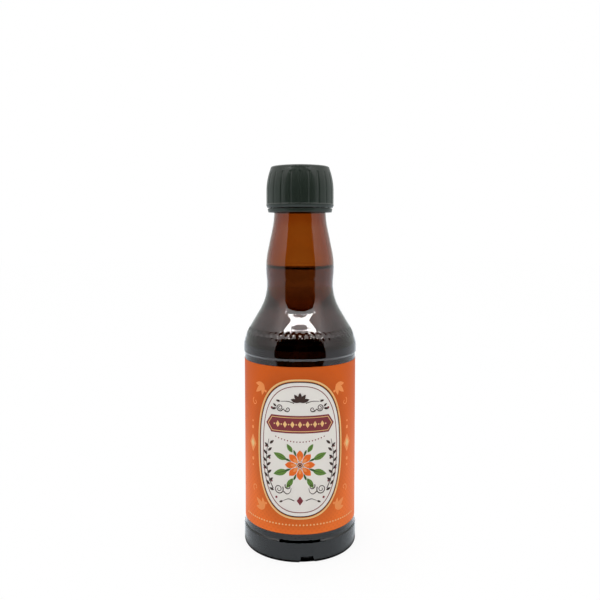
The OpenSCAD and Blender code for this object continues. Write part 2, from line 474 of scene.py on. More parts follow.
@dataclass(frozen=True)
class PressedFoam:
    """The closed foam of the cap's liner."""

    shade: Colour = colour(238, 236, 228)
    cell_shade: Colour = colour(222, 219, 208)
    cell_size: float = 0.35 * MM
    cell_depth: float = 0.03 * MM

    def material(self) -> bpy.types.Material:
        """Makes the material, with its small cells.

        Returns:
            The material.
        """
        made, shader = material("liner_foam")
        cells = shader.noise(self.cell_size, detail=1.0)
        shader.surface({
            "Base Color": shader.mixed(cells * 0.4, self.shade, self.cell_shade),
            "Roughness": 0.55 + cells * 0.2,
            "Normal": shader.bump(cells, self.cell_depth),
        })
        return made


@dataclass(frozen=True)
class Ink:
    """One printed colour, which lies in the paper and takes its grain."""

    name: str
    shade: Colour
    layers: int
    roughness: float = 0.5
    shine: float = 0.15
    press_size: float = 0.5 * MM
    fibre_size: float = 0.16 * MM
    fibre_depth: float = 0.012 * MM

    def material(self) -> bpy.types.Material:
        """Makes the material, a little thinner in places, as the press leaves it.

        Returns:
            The material.
        """
        made, shader = material("ink_" + self.name)
        press = shader.noise(self.press_size, detail=3.0)
        fibre = shader.noise(self.fibre_size, detail=3.0)
        thin = tuple((channel + 0.03) * 0.94 for channel in self.shade)
        shader.surface({
            "Base Color": shader.mixed(press * 0.5, self.shade, thin),
            "Roughness": self.roughness + (fibre - 0.5) * 0.12,
            "Specular IOR Level": self.shine,
            "Normal": shader.bump(fibre, self.fibre_depth, 0.6),
        })
        return made


class Inks(Enum):
    """The colours that the label is printed in, each some layers thick over the paper."""

    WHITE = Ink("white", colour(226, 222, 216), 1)
    CREAM = Ink("cream", colour(228, 186, 122), 5)
    DARK = Ink("dark", colour(58, 40, 34), 5)
    WINE = Ink("wine", colour(122, 48, 56), 4)
    GREEN = Ink("green", colour(92, 128, 50), 2)
    DEEP_GREEN = Ink("deep_green", colour(50, 84, 42), 3)
    PALE_ORANGE = Ink("pale_orange", colour(232, 142, 74), 3)
    BRIGHT_ORANGE = Ink("bright_orange", colour(226, 104, 28), 2)


@dataclass(frozen=True)
class LabelPaper:
    """The label's orange paper, shaded darker round the medallion, with a faint woven ground and painted
    shading from a lighter foot to a darker top.
    """

    radius: float
    middle: float
    wide: float
    high: float
    power: float
    # Painted shading: a lighter orange for the paper's foot and a darker one for its top.
    painted_lighter_foot: Colour = colour(232, 112, 44)
    painted_darker_top: Colour = colour(203, 88, 20)
    halo: Colour = colour(166, 76, 34)
    halo_fade: Edge = (0.9, 2.3)
    woven: Colour = colour(190, 82, 34)
    weave: float = 2.4 * MM
    mottle: Colour = colour(222, 116, 50)
    mottle_size: float = 2.2 * MM
    fibre_size: float = 0.16 * MM
    fibre_depth: float = 0.014 * MM
    shine: float = 0.1

    def material(self) -> bpy.types.Material:
        """Makes the material.

        Returns:
            The material.
        """
        made, shader = material("label_paper")
        x, y, z = shader.split()
        side = x.angle_from(-y) * self.radius
        up = z - self.middle
        reach = abs(side / self.wide) ** self.power + abs(up / self.high) ** self.power
        near = 1 - reach.step(*self.halo_fade)
        turns = FULL_TURN / self.weave
        weave = (side * turns).sine() * (up * turns).sine()
        # Painted shading: the paper runs from a lighter orange at its foot to a darker one at its top.
        rise = up.step(-self.high * 1.25, self.high * 1.15)
        plain = shader.mixed(rise, self.painted_lighter_foot, self.painted_darker_top)
        ground = shader.mixed(near * 0.5, plain, self.halo)
        figured = shader.mixed(weave.step(0.1, 0.7) * 0.25, ground, self.woven)
        mottle = shader.noise(self.mottle_size, detail=4.0)
        fibre = shader.noise(self.fibre_size, detail=3.0)
        shader.surface({
            "Base Color": shader.mixed(mottle * 0.12, figured, self.mottle),
            "Roughness": 0.52 + (fibre - 0.5) * 0.16,
            "Specular IOR Level": self.shine,
            "Normal": shader.bump(fibre, self.fibre_depth, 0.7),
        })
        return made


Print = dict[Inks, list[Outline]]


# Meshes


def clamped(share: float) -> float:
    """Returns a share, kept from 0 to 1."""
    return min(max(share, 0.0), 1.0)


def ease(share: float) -> float:
    """Returns a smooth step of a share from 0 to 1."""
    return share * share * (3 - 2 * share)


def arc(centre: Point, radius: float, start: float, end: float, steps: int) -> Outline:
    """Returns an arc round a centre, from a start to an end in degrees, both ends among its points."""
    turns = [math.radians(start + (end - start) * step / steps) for step in range(steps + 1)]
    return [(centre[0] + radius * math.cos(turn), centre[1] + radius * math.sin(turn)) for turn in turns]


def rounded(corners: Sequence[tuple[float, float, float]], steps: int = 5) -> Outline:
    """Rounds the corners of a line.

    Args:
        corners: Each corner's radius, height and fillet. A fillet of 0 leaves the corner sharp.
        steps: How many straight pieces a fillet has.

    Returns:
        The rounded line.
    """
    line: Outline = []
    for index, (x, z, fillet) in enumerate(corners):
        if fillet == 0 or index in (0, len(corners) - 1):
            line.append((x, z))
            continue
        here = Vector((x, z))
        back = Vector(corners[index - 1][:2]) - here
        ahead = Vector(corners[index + 1][:2]) - here
        half = back.angle(ahead) / 2
        reach = min(fillet / math.tan(half), back.length * 0.49, ahead.length * 0.49)
        start = here + back.normalized() * reach
        end = here + ahead.normalized() * reach
        middle = here + (back.normalized() + ahead.normalized()).normalized() * reach / math.cos(half)
        sweep = (start - middle).angle_signed(end - middle)
        for step in range(steps + 1):
            spoke = start - middle
            spoke.rotate(Matrix.Rotation(-sweep * step / steps, 2))
            line.append(tuple(middle + spoke))
    return line


def partway(start: Point, end: Point, share: float) -> Point:
    """Returns the point that lies a share of the way from start to end."""
    return start[0] + (end[0] - start[0]) * share, start[1] + (end[1] - start[1]) * share


def guarded(line: Outline, guard: float = 0.12 * MM, longest: float = 0.8 * MM) -> Outline:
    """Adds a point close to each end of every long straight piece, so that smooth shading stays flat there.

    Args:
        line: The outline.
        guard: The distance of the added points from the ends.
        longest: The length up to which a piece is left alone.

    Returns:
        The outline with its guards.
    """
    kept = [line[0]]
    for start, end in zip(line, line[1:]):
        length = math.dist(start, end)
        if length > longest:
            share = guard / length
            for part in (share, 1 - share):
                kept.append(partway(start, end, part))
        kept.append(end)
    return kept


def even_turns(count: int) -> list[float]:
    """Returns count azimuths in radians, evenly round the axis from the front."""
    return [FRONT + FULL_TURN * step / count for step in range(count)]


def add_object(name: str, mesh: bmesh.types.BMesh, finish: bpy.types.Material) -> bpy.types.Object:
    """Adds a smooth object to the scene.

    Args:
        name: The object's name.
        mesh: Its mesh in the making, which is freed.
        finish: Its material.

    Returns:
        The object.
    """
    data = bpy.data.meshes.new(name)
    mesh.to_mesh(data)
    mesh.free()
    data.materials.append(finish)
    data.shade_smooth()
    made = bpy.data.objects.new(name, data)
    bpy.context.scene.collection.objects.link(made)
    return made


def turned(
    name: str,
    line: Outline,
    turns: Sequence[float],
    finish: bpy.types.Material,
    ring: bool = False,
    shape: Callable[[float, float, float], Point] | None = None,
) -> bpy.types.Object:
    """Turns an outline about +Z into a closed mesh.

    Args:
        name: The object's name.
        line: The outline as (radius, height). It starts and ends on the axis, unless it is a ring.
        turns: The azimuths of its copies, in radians.
        finish: The material.
        ring: Whether the outline closes on itself, away from the axis.
        shape: A function that takes azimuth, radius and height and gives the point's radius and height.

    Returns:
        The object.
    """
    mesh = bmesh.new()
    rows = []
    for radius, height in line:
        if radius < ON_AXIS:
            rows.append([mesh.verts.new((0, 0, height))] * len(turns))
            continue
        row = []
        for turn in turns:
            far, high = shape(turn, radius, height) if shape else (radius, height)
            row.append(mesh.verts.new((far * math.cos(turn), far * math.sin(turn), high)))
        rows.append(row)
    pairs = list(zip(rows, rows[1:]))
    if ring:
        pairs.append((rows[-1], rows[0]))
    for low, high in pairs:
        for here in range(len(turns)):
            there = (here + 1) % len(turns)
            corners = dict.fromkeys((low[here], low[there], high[there], high[here]))
            if len(corners) > 2:
                mesh.faces.new(list(corners))
    bmesh.ops.recalc_face_normals(mesh, faces=mesh.faces)
    return add_object(name, mesh, finish)


# The screw threads


@dataclass(frozen=True)
class Thread:
    """A screw thread of one start, right-handed, with ends that run out."""

    foot: float
    turns: float
    width: float
    height: float
    pitch: float = 3.175 * MM
    runout: float = math.radians(28)
    start: float = math.radians(200)
    flank: float = 0.55

    def at(self, turn: float, level: float) -> float:
        """Gives the thread's height at a place on the cylinder that carries it.

        Args:
            turn: Azimuth in radians.
            level: Height in metres.

        Returns:
            The height in metres, 0 beside the thread.
        """
        along = (turn - self.start) % FULL_TURN
        best = 0.0
        while along <= self.turns * FULL_TURN:
            off = abs(level - self.foot - self.pitch * along / FULL_TURN) / (self.width / 2)
            if off < 1:
                flank = min(1, (1 - off) / self.flank)
                ends = min(along, self.turns * FULL_TURN - along) / self.runout
                best = max(best, self.height * ease(flank) * ease(min(1, ends)))
            along += FULL_TURN
        return best


# The bottle


@dataclass
class Glass:
    """The glass bottle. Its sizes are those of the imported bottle_glass."""

    body_radius: float = 26.95 * MM
    shoulder_radius: float = 26.8 * MM
    panel_radius: float = 26.35 * MM
    heel_height: float = 10.4 * MM
    heel_fillet: float = 1.7 * MM
    bearing_width: float = 2.6 * MM
    panel_top: float = 92.4 * MM
    panel_step: float = 0.9 * MM
    panel_edge: float = 0.7 * MM
    panel_root: float = 0.5 * MM
    shoulder_band: float = 1.9 * MM
    wall: float = 2 * MM
    shoulder_height: float = 30 * MM
    shoulder_angle: float = 31.0
    shoulder_fillet: float = 17 * MM
    waist_radius: float = 15.7 * MM
    bulge_out: float = 0.42 * MM
    bulge_height: float = 7.4 * MM
    neck_height: float = 27.4 * MM
    neck_angle: float = 12.0
    neck_radius: float = 12.2 * MM
    punt: float = 3.2 * MM
    floor: float = 4.4 * MM
    inner_heel: float = 7 * MM
    finish_height: float = 16.8 * MM
    root_radius: float = 12.55 * MM
    bead_radius: float = 13.35 * MM
    bead_height: float = 1.9 * MM
    bead_rise: float = 0.6 * MM
    bore_radius: float = 9.8 * MM
    rim_fillet: float = 0.7 * MM
    thread_radius: float = 13.65 * MM
    thread_width: float = 1.9 * MM
    thread_start: float = 5.7 * MM
    thread_turns: float = 1.6
    thread_row: float = 0.16 * MM
    notch_width: float = 7.2 * MM
    notch_top: float = 0.6
    notch_height: float = 3.2 * MM
    notch_depth: float = 2.2 * MM
    notch_angle: float = 7.0
    notch_edge: float = 0.24 * MM
    notch_turns: int = 60
    notch_margin: float = 0.02
    hollow_level: float = 109.9 * MM
    hollow_reach: float = 3.0 * MM
    hollow_fade: float = 9.0 * MM
    hollow_bend: float = math.radians(0.235) / MM
    band_top: float = 105.1 * MM
    band_step: float = 0.9 * MM
    band_foot: float = 100.4 * MM
    band_fade: float = 3.5 * MM
    band_depth: float = 0.22 * MM
    band_reach: float = 2.75 * MM
    scallop: float = 1.2 * MM
    relief: float = 0.14 * MM
    relief_level: float = 102.2 * MM
    relief_reach: float = 1.5 * MM
    lozenges: int = 56
    lozenge_width: float = 0.9
    lozenge_flank: float = 0.5
    turns: int = 560

    @property
    def turn_level(self) -> float:
        """Height of the turn of the shoulder."""
        return self.panel_top + self.panel_step + self.shoulder_band

    @property
    def waist_level(self) -> float:
        """Height of the waist."""
        return self.turn_level + self.shoulder_height

    @property
    def bulge_level(self) -> float:
        """Height of the fullest place of the neck's bulge."""
        return self.waist_level + self.bulge_height

    @property
    def finish_level(self) -> float:
        """Height of the foot of the finish."""
        return self.bulge_level + self.neck_height

    @property
    def bead_level(self) -> float:
        """Height of the underside of the bead."""
        return self.finish_level + self.bead_rise

    @property
    def rim_level(self) -> float:
        """Height of the sealing rim."""
        return self.finish_level + self.finish_height

    def shoulder_line(self, side: float, low: float, full: float, top: float, turn: float) -> Outline:
        """Draws the shoulder and neck: a turn, a slope, the waist, the bulge and the neck, all tangent.

        Args:
            side: Radius of the body.
            low: Radius of the waist.
            full: Radius of the bulge.
            top: Radius at the foot of the finish.
            turn: Radius of the rounded turn of the shoulder.

        Returns:
            The line from the turn of the shoulder up.
        """

        def radii(run: float, rise: float, slope: float) -> float:
            """Returns the sum of the two radii that round a slope off to upright at both ends."""
            return (math.tan(slope) * rise - run) * math.cos(slope) / (1 - math.cos(slope))

        shoulder = math.radians(self.shoulder_angle)
        neck = math.radians(self.neck_angle)
        hollow = radii(side - low, self.shoulder_height, shoulder) - turn
        out = full - low
        bulge = (out**2 + self.bulge_height**2) / (2 * out) - hollow
        sweep = math.degrees(math.asin(self.bulge_height / (hollow + bulge)))
        throat = radii(full - top, self.neck_height, neck) - bulge
        rise = arc((side - turn, self.turn_level), turn, 0, self.shoulder_angle, 62)
        waist = arc((low + hollow, self.waist_level), hollow, 180 + self.shoulder_angle, 180 - sweep, 44)
        length = math.dist(rise[-1], waist[0])
        near, row = 1 * MM, 0.3 * MM
        close = [near / 10 * step for step in range(1, 11)]
        apart = [near + row * step for step in range(1, int((length - near) / row))]
        cone = [partway(rise[-1], waist[0], along / length) for along in close + apart]
        slope = [self.hollowed(point, shoulder) for point in [*cone, *waist]]
        return [
            *rise, *slope,
            *arc((full - bulge, self.bulge_level), bulge, -sweep, self.neck_angle, 24)[1:],
            *arc((top + throat, self.finish_level), throat, 180 + self.neck_angle, 180, 20)[1:],
        ]

    def hollowed(self, point: Point, slope: float) -> Point:
        """Moves the upper slope of the shoulder out by a hair, so that it hollows gently towards the waist.

        Args:
            point: A point on the slope or the waist.
            slope: The slope's angle in radians.

        Returns:
            The point, moved square to the slope.
        """
        up = (point[1] - self.hollow_level) / math.cos(slope)
        over = clamped((up - self.hollow_reach) / self.hollow_fade)
        up = min(max(up, 0.0), self.hollow_reach)
        out = self.hollow_bend * (
            up**2 / 2 * (2 * over**3 - 3 * over**2 + 1)
            + up * self.hollow_fade * (over**3 - 2 * over**2 + over)
        )
        return point[0] + out * math.cos(slope), point[1] + out * math.sin(slope)

    def dome(self, edge: float, level: float, rise: float) -> Outline:
        """Returns a shallow dome from the axis, rise above its level, out to its edge."""
        radius = (edge**2 + rise**2) / (2 * rise)
        return arc((0, level + rise - radius), radius, 90, 90 - math.degrees(math.asin(edge / radius)), 20)

    def outside(self) -> Outline:
        """Draws the outer line.

        Returns:
            The line from the middle of the base to the sealing rim.
        """
        fillet = self.heel_fillet
        ring = self.body_radius - fillet - self.bearing_width
        base = rounded([
            (0, self.punt, 0),
            *((x, z, 0) for x, z in self.dome(ring, 0, self.punt)[1:-1]),
            (ring, 0, 1.2 * MM),
            (self.body_radius - fillet, 0, 0),
        ])
        heel = self.notch_rows(arc((self.body_radius - fillet, fillet), fillet, -90, 0, 16)[1:])
        panel = rounded([
            (*heel[-1], 0),
            (self.body_radius, self.heel_height - self.panel_step, self.panel_edge),
            (self.panel_radius, self.heel_height, self.panel_root),
            (self.panel_radius, self.panel_top, self.panel_root),
            (self.shoulder_radius, self.panel_top + self.panel_step, self.panel_edge),
            (self.shoulder_radius, self.turn_level, 0),
        ])[1:]
        waist = self.waist_radius
        shoulder = self.shoulder_line(
            self.shoulder_radius, waist, waist + self.bulge_out, self.neck_radius, self.shoulder_fillet
        )[1:]
        bead = rounded([
            (*shoulder[-1], 0),
            (self.neck_radius, self.bead_level, 0.3 * MM),
            (self.bead_radius, self.bead_level, 0.25 * MM),
            (self.bead_radius, self.bead_level + self.bead_height / 2, 0.4 * MM),
            (self.root_radius, self.bead_level + self.bead_height, 0.4 * MM),
            (self.root_radius, self.bead_level + self.bead_height + 0.5 * MM, 0),
        ])[1:]
        fillet = self.rim_fillet
        foot, neck_end = bead[-1][1], self.rim_level - fillet
        count = int((neck_end - foot) / self.thread_row)
        thread = [(self.root_radius, foot + self.thread_row * index) for index in range(1, count)]
        rim = [
            *arc((self.root_radius - fillet, neck_end), fillet, 0, 90, 6),
            *arc((self.bore_radius + fillet, neck_end), fillet, 90, 180, 6),
        ]
        return guarded([*base, *heel, *panel, *shoulder, *bead]) + thread + rim

    def notch_rows(self, line: Outline) -> Outline:
        """Adds rows to the heel, just above and below the top of the spotting notch.

        Args:
            line: The heel's line.

        Returns:
            The line with its added rows, from its foot up.
        """
        fillet, near = self.heel_fillet, 0.06 * MM
        rows = [*line]
        for level in (self.notch_height - near, self.notch_height + near):
            reach = math.sqrt(fillet**2 - max(fillet - level, 0) ** 2)
            rows.append((self.body_radius - fillet + reach, level))
        return sorted(rows, key=lambda point: point[1])

    def inside(self, grow: float = 0.0) -> Outline:
        """Draws the space inside the glass.

        Args:
            grow: How far the line lies outside the true space, in metres.

        Returns:
            The line from the middle of the floor to the foot of the finish.
        """
        radius = self.panel_radius - self.wall
        rise = self.punt / 2
        floor = self.floor + rise
        waist = self.waist_radius - self.wall
        line = [
            *self.dome(radius - self.inner_heel, floor, rise),
            *arc((radius - self.inner_heel, floor + self.inner_heel), self.inner_heel, -90, 0, 12)[1:],
        ]
        lowered = [(x + grow if x > ON_AXIS else 0.0, z - grow) for x, z in line]
        side = self.shoulder_line(
            radius, waist, waist + self.bulge_out, self.bore_radius, self.shoulder_fillet - self.wall
        )
        return guarded(lowered + [(x + grow, z) for x, z in side])

    def thread_height(self, turn: float, level: float) -> float:
        """Gives how far the thread stands out.

        Args:
            turn: Azimuth in radians.
            level: Height in metres.

        Returns:
            The height of the thread over its root, in metres.
        """
        return Thread(
            foot=self.bead_level + self.thread_start,
            turns=self.thread_turns,
            width=self.thread_width,
            height=self.thread_radius - self.root_radius,
        ).at(turn, level)

    def relief_height(self, turn: float, level: float) -> float:
        """Gives the height of the shoulder's moulded ring: lozenges in a sunk band with a scalloped edge.

        Args:
            turn: Azimuth in radians.
            level: Height in metres.

        Returns:
            The height of the relief over the shoulder, in metres.
        """
        pitch = FULL_TURN / self.lozenges
        across = abs(math.remainder(turn - FRONT, pitch)) / (pitch / 2)
        edge = self.band_top - self.scallop * across**2
        sunk = ease(clamped((edge - level) / self.band_step))
        sunk *= 1 - ease(clamped((self.band_foot - level) / self.band_fade))
        up = abs(level - self.relief_level) / self.relief_reach
        lozenge = ease(clamped((1 - across / self.lozenge_width - up) / self.lozenge_flank))
        return self.relief * lozenge - self.band_depth * sunk

    def shaped(self, turn: float, radius: float, level: float) -> Point:
        """Adds the thread, the moulded ring and the spotting notch to the turned shape.

        Args:
            turn: Azimuth in radians.
            radius: Radius of the turned shape.
            level: Height.

        Returns:
            The point's radius and height.
        """
        if level > self.bead_level + self.bead_height and radius > self.root_radius - 0.01 * MM:
            return radius + self.thread_height(turn, level), level
        in_band = self.band_foot - self.band_fade < level < self.band_top
        if in_band and radius > self.panel_radius - self.band_reach:
            turned_in = math.asin((level - self.turn_level) / self.shoulder_fillet)
            slope = min(turned_in, math.radians(self.shoulder_angle))
            out = self.relief_height(turn, level)
            return radius + out * math.cos(slope), level + out * math.sin(slope)
        bottom = self.body_radius - self.notch_depth
        if 0 < level < self.notch_height and radius > bottom:
            offset = abs(math.remainder(turn - FRONT - math.radians(self.notch_angle), FULL_TURN)) * radius
            half = self.notch_width / 2 * (1 - (1 - self.notch_top) * level / self.notch_height)
            share = clamped((half + self.notch_edge / 2 - offset) / self.notch_edge)
            return radius + (bottom - radius) * share, level
        return radius, level

    def build(self) -> bpy.types.Object:
        """Builds the glass and dresses it.

        Returns:
            The glass as one closed mesh.
        """
        line = [*self.outside(), *reversed(self.inside())]
        turns = even_turns(self.turns)
        notch = FRONT + math.radians(self.notch_angle)
        reach = self.notch_width / 2 / self.body_radius + self.notch_margin
        fine = [notch + reach * (2 * step / self.notch_turns - 1) for step in range(self.notch_turns + 1)]
        coarse = [turn for turn in turns if abs(math.remainder(turn - notch, FULL_TURN)) > reach]
        turns = sorted(turn % FULL_TURN for turn in coarse + fine)
        made = turned("glass_body", line, turns, AmberGlass().material(), shape=self.shaped)
        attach(made, Body.BOTTLE.value)
        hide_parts("bottle_glass")
        return made


@dataclass
class Filling:
    """The bitters in the bottle, up to the neck."""

    glass: Glass
    level: float = 131.95 * MM
    overlap: float = 0.03 * MM
    meniscus: float = 2.1 * MM
    meniscus_reach: float = 3.0
    rows: int = 16
    turns: int = 192

    def build(self) -> bpy.types.Object:
        """Builds the filling, whose surface climbs the wall a little, and dresses it.

        Returns:
            The filling as one closed mesh, which just reaches into the glass.
        """
        line = self.glass.inside(self.overlap)
        below = [point for point in line if point[1] < self.level + self.meniscus]
        low, high = below[-1], line[len(below)]
        share = (self.level + self.meniscus - low[1]) / (high[1] - low[1])
        wall = low[0] + (high[0] - low[0]) * share
        top = []
        for step in range(self.rows + 1):
            share = step / self.rows
            out = wall - self.meniscus_reach * self.meniscus * share**1.6
            top.append((out, self.level + self.meniscus * (1 - share) ** 2.4))
        line = [*below, *top, (0.0, self.level)]
        made = turned("bitters_liquid", line, even_turns(self.turns), Liquid().material())
        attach(made, Body.BOTTLE.value)
        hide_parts("bitters")
        return made


# The closure


@dataclass
class Cap:
    """The fluted screw cap with its thread and its liner."""

    radius: float = 15.85 * MM
    top_radius: float = 13.95 * MM
    barrel_height: float = 10.5 * MM
    edge: float = 1.1 * MM
    wall_radius: float = 14.05 * MM
    seat_radius: float = 13.1 * MM
    seat_height: float = 1.9 * MM
    seat_taper: float = 3 * MM
    flutes: int = 22
    flute_radius: float = 0.95 * MM
    flute_depth: float = 0.2 * MM
    flute_stop: float = 3.4 * MM
    lip_out: float = 0.12 * MM
    lip_height: float = 1.7 * MM
    foot_height: float = 1.1 * MM
    foot_in: float = 0.4 * MM
    top_wall: float = 1.5 * MM
    sunk: float = 0.12 * MM
    sunk_radius: float = 10.4 * MM
    sunk_edge: float = 10.8 * MM
    worn_rim: float = 0.15 * MM
    thread_radius: float = 12.95 * MM
    thread_width: float = 1.1 * MM
    thread_start: float = 3.7 * MM
    thread_turns: float = 1.6
    thread_row: float = 0.18 * MM
    row: float = 0.5 * MM
    soft: float = 0.07 * MM
    soft_out: float = 8.0
    soft_in: float = 30.0
    flute_reach: float = 0.75 * MM
    land_steps: int = 5
    flute_steps: int = 16
    sharp: float = 42.0
    wad_groove: Point = (10.0 * MM, 11.6 * MM)
    wad_pressed: float = 0.06 * MM
    wad_turns: int = 128
    foot: float = field(init=False)
    top: float = field(init=False)

    def __post_init__(self) -> None:
        """Takes the cap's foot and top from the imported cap."""
        low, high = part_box("cap_shell")
        self.foot, self.top = low.z, high.z

    @property
    def barrel_level(self) -> float:
        """Height at which the side starts to curve in."""
        return self.top - self.edge - self.barrel_height

    @property
    def barrel_curve(self) -> float:
        """Radius of the barrel curve."""
        drop = self.radius - self.top_radius
        return (drop**2 + self.barrel_height**2) / (2 * drop)

    def azimuths(self) -> list[float]:
        """Spreads the columns of the cap's mesh.

        Returns:
            Azimuths that lie close together across the flutes and wider on the lands.
        """
        pitch = FULL_TURN / self.flutes
        half = self.flute_reach / self.radius
        across = [half * (2 * step / self.flute_steps - 1) for step in range(self.flute_steps + 1)]
        land = [half + (pitch - 2 * half) * step / self.land_steps for step in range(1, self.land_steps)]
        return [FRONT + pitch * flute + place for flute in range(self.flutes) for place in across + land]

    def fluted(self, turn: float, radius: float, level: float) -> Point:
        """Cuts the flutes into the side, with soft edges, and the thread onto the inside.

        Args:
            turn: Azimuth in radians.
            radius: Radius of the turned shape.
            level: Height.

        Returns:
            The point's radius and height.
        """
        if abs(radius - self.wall_radius) < 0.01 * MM:
            return radius - self.thread(turn, level), level
        lip = self.foot + self.lip_height
        stop = self.top - self.flute_stop
        if level <= lip or level >= stop + self.flute_radius or radius < self.wall_radius + 0.3 * MM:
            return radius, level
        pitch = FULL_TURN / self.flutes
        off = math.remainder(turn - FRONT, pitch)
        over = max(0.0, level - stop) / self.flute_radius
        cutter = self.flute_radius * math.sqrt(max(0.0, 1 - over**2))
        centre = radius + self.flute_radius - self.flute_depth
        side = centre * math.sin(off)
        if abs(side) >= cutter:
            return radius, level
        cut = centre * math.cos(off) - math.sqrt(cutter**2 - side**2)
        gap = (cut - radius) / self.soft
        if gap > self.soft_out:
            return radius, level
        return radius - self.soft * math.log1p(math.exp(-gap)) if gap > -self.soft_in else cut, level

    def thread(self, turn: float, level: float) -> float:
        """Gives how far the thread stands in from the skirt's wall.

        Args:
            turn: Azimuth in radians.
            level: Height in metres.

        Returns:
            The height of the thread over its root, in metres.
        """
        return Thread(
            foot=self.foot + self.thread_start,
            turns=self.thread_turns,
            width=self.thread_width,
            height=self.wall_radius - self.thread_radius,
        ).at(turn, level)

    def outline(self) -> Outline:
        """Draws the cap's outline.

        Returns:
            The line from the middle of the top down the outside and up the inside.
        """
        slope = math.degrees(math.asin(self.barrel_height / self.barrel_curve))
        lip = self.foot + self.lip_height
        edge = arc((self.top_radius - self.edge, self.top - self.edge), self.edge, 90, slope, 10)
        barrel = arc((self.radius - self.barrel_curve, self.barrel_level), self.barrel_curve, slope, 0, 60)
        count = int((self.barrel_level - lip) / self.row)
        straight = [(self.radius, self.barrel_level - self.row * step) for step in range(1, count)]
        out = self.radius + self.lip_out
        shoulder = arc((out - 0.6 * MM, lip - 0.26 * MM), 0.6 * MM, 0, 36.8, 6)
        foot = rounded([
            (*straight[-1], 0),
            *((x, z, 0) for x, z in reversed(shoulder)),
            (out, self.foot + self.foot_height, 0.5 * MM),
            (self.radius - self.foot_in, self.foot, 0.15 * MM),
            (self.wall_radius, self.foot, 0.3 * MM),
            (self.wall_radius, self.foot + 1.2 * MM, 0),
        ], steps=4)[1:]
        ceiling = self.top - self.top_wall
        seat = ceiling - self.seat_height
        upper = seat - self.seat_taper
        low = foot[-1][1]
        count = int((upper - low) / self.thread_row)
        inner = [(self.wall_radius, low + (upper - low) * step / count) for step in range(1, count)]
        inner += [(self.wall_radius - 0.02 * MM, upper), (self.seat_radius, seat)]
        inner += [(self.seat_radius, ceiling), (0.0, ceiling)]
        sunk = self.top - self.sunk
        crown = guarded([(0.0, sunk), (self.sunk_radius, sunk), (self.sunk_edge, self.top), *edge])
        return [*crown, *barrel[1:], *straight, *guarded(foot), *inner]

    def build(self) -> list[bpy.types.Object]:
        """Builds the cap and its liner and dresses them.

        Returns:
            The cap and the liner.
        """
        plastic = closure_plastic("cap_plastic", (self.foot + self.lip_height, self.top - self.worn_rim))
        shell = turned("cap_body", self.outline(), self.azimuths(), plastic, shape=self.fluted)
        shell.data.set_sharp_from_angle(angle=math.radians(self.sharp))
        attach(shell, Body.CAP.value)
        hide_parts("cap_shell")
        return [shell, self.build_liner()]

    def build_liner(self) -> bpy.types.Object:
        """Builds the liner, with the ring that the rim has pressed into it, and dresses it.

        Returns:
            The liner.
        """
        low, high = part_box("cap_liner")
        radius, under, over = high.x, low.z, high.z
        near, far = self.wad_groove
        fillet, slope = 0.2 * MM, 0.4 * MM
        line = rounded([
            (0, under, 0),
            (near - slope, under, fillet),
            (near, under + self.wad_pressed, fillet),
            (far, under + self.wad_pressed, fillet),
            (far + slope, under, fillet),
            (radius, under, 0.3 * MM),
            (radius, over, fillet),
            (0, over, 0),
        ])
        made = turned("cap_wad", guarded(line), even_turns(self.wad_turns), PressedFoam().material())
        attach(made, Body.LINER.value)
        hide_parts("cap_liner")
        return made


@dataclass
class Band:
    """The loose tamper band with its catch flap and the stubs of its bridges."""

    taper: float = 0.35 * MM
    bore: float = 14.2 * MM
    flap_radius: float = 12.75 * MM
    flap: float = 0.5 * MM
    flap_drop: float = 0.15 * MM
    bridges: int = 10
    bridge_width: float = 0.9 * MM
    bridge_height: float = 0.2 * MM
    bridge_root: float = 0.2 * MM
    bridge_depth: float = 0.6 * MM
    bridge_tear: float = 0.12 * MM
    bridge_narrow: float = 0.6
    collar: float = 0.8 * MM
    turns: int = 160
    sharp: float = 40.0

    def build(self) -> bpy.types.Object:
        """Builds the band with the stubs of its bridges and dresses it.

        Returns:
            The band as one object.
        """
        low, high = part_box("tamper_band")
        radius, foot, top = high.x, low.z, high.z - self.bridge_height
        flap_top = top - self.flap_drop
        line = rounded([
            (radius - self.taper - 0.3 * MM, foot, 0),
            (radius - self.taper, foot, 0.2 * MM),
            (radius, top, 0.25 * MM),
            (self.bore + self.collar, top, 0),
            (self.bore + self.collar, high.z, 0.06 * MM),
            (self.bore, high.z, 0.06 * MM),
            (self.bore, flap_top, 0),
            (self.flap_radius, flap_top, 0.2 * MM),
            (self.flap_radius, flap_top - self.flap, 0.2 * MM),
            (self.bore, foot, 0.1 * MM),
            (radius - self.taper - 0.4 * MM, foot, 0),
        ])
        ring = turned("tamper_ring", line, even_turns(self.turns), closure_plastic("band_plastic"), ring=True)
        stubs = bmesh.new()
        for index in range(self.bridges):
            turn = (index + 0.5) * FULL_TURN / self.bridges
            self._stub(stubs, turn, (radius + self.bore) / 2, top)
        stubs.from_mesh(ring.data)
        stubs.to_mesh(ring.data)
        stubs.free()
        ring.data.shade_smooth()
        ring.data.set_sharp_from_angle(angle=math.radians(self.sharp))
        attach(ring, Body.BAND.value)
        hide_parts("tamper_band")
        return ring

    def _stub(self, mesh: bmesh.types.BMesh, turn: float, radius: float, top: float) -> None:
        """Adds the stub of one broken bridge, narrower and ragged at its end.

        Args:
            mesh: The mesh to add to.
            turn: Its azimuth in radians.
            radius: Its distance from the axis.
            top: The height of the band's upper face.
        """
        for corner in bmesh.ops.create_cube(mesh, size=1.0)["verts"]:
            end = corner.co.z > 0
            narrow = self.bridge_narrow if end else 1.0
            across = corner.co.y * self.bridge_width * narrow
            out = radius + corner.co.x * self.bridge_depth * narrow
            height = top + (self.bridge_height if end else -self.bridge_root)
            height -= self.bridge_tear if end and corner.co.y > 0 else 0
            corner.co = (
                out * math.cos(turn) - across * math.sin(turn),
                out * math.sin(turn) + across * math.cos(turn),
                height,
            )


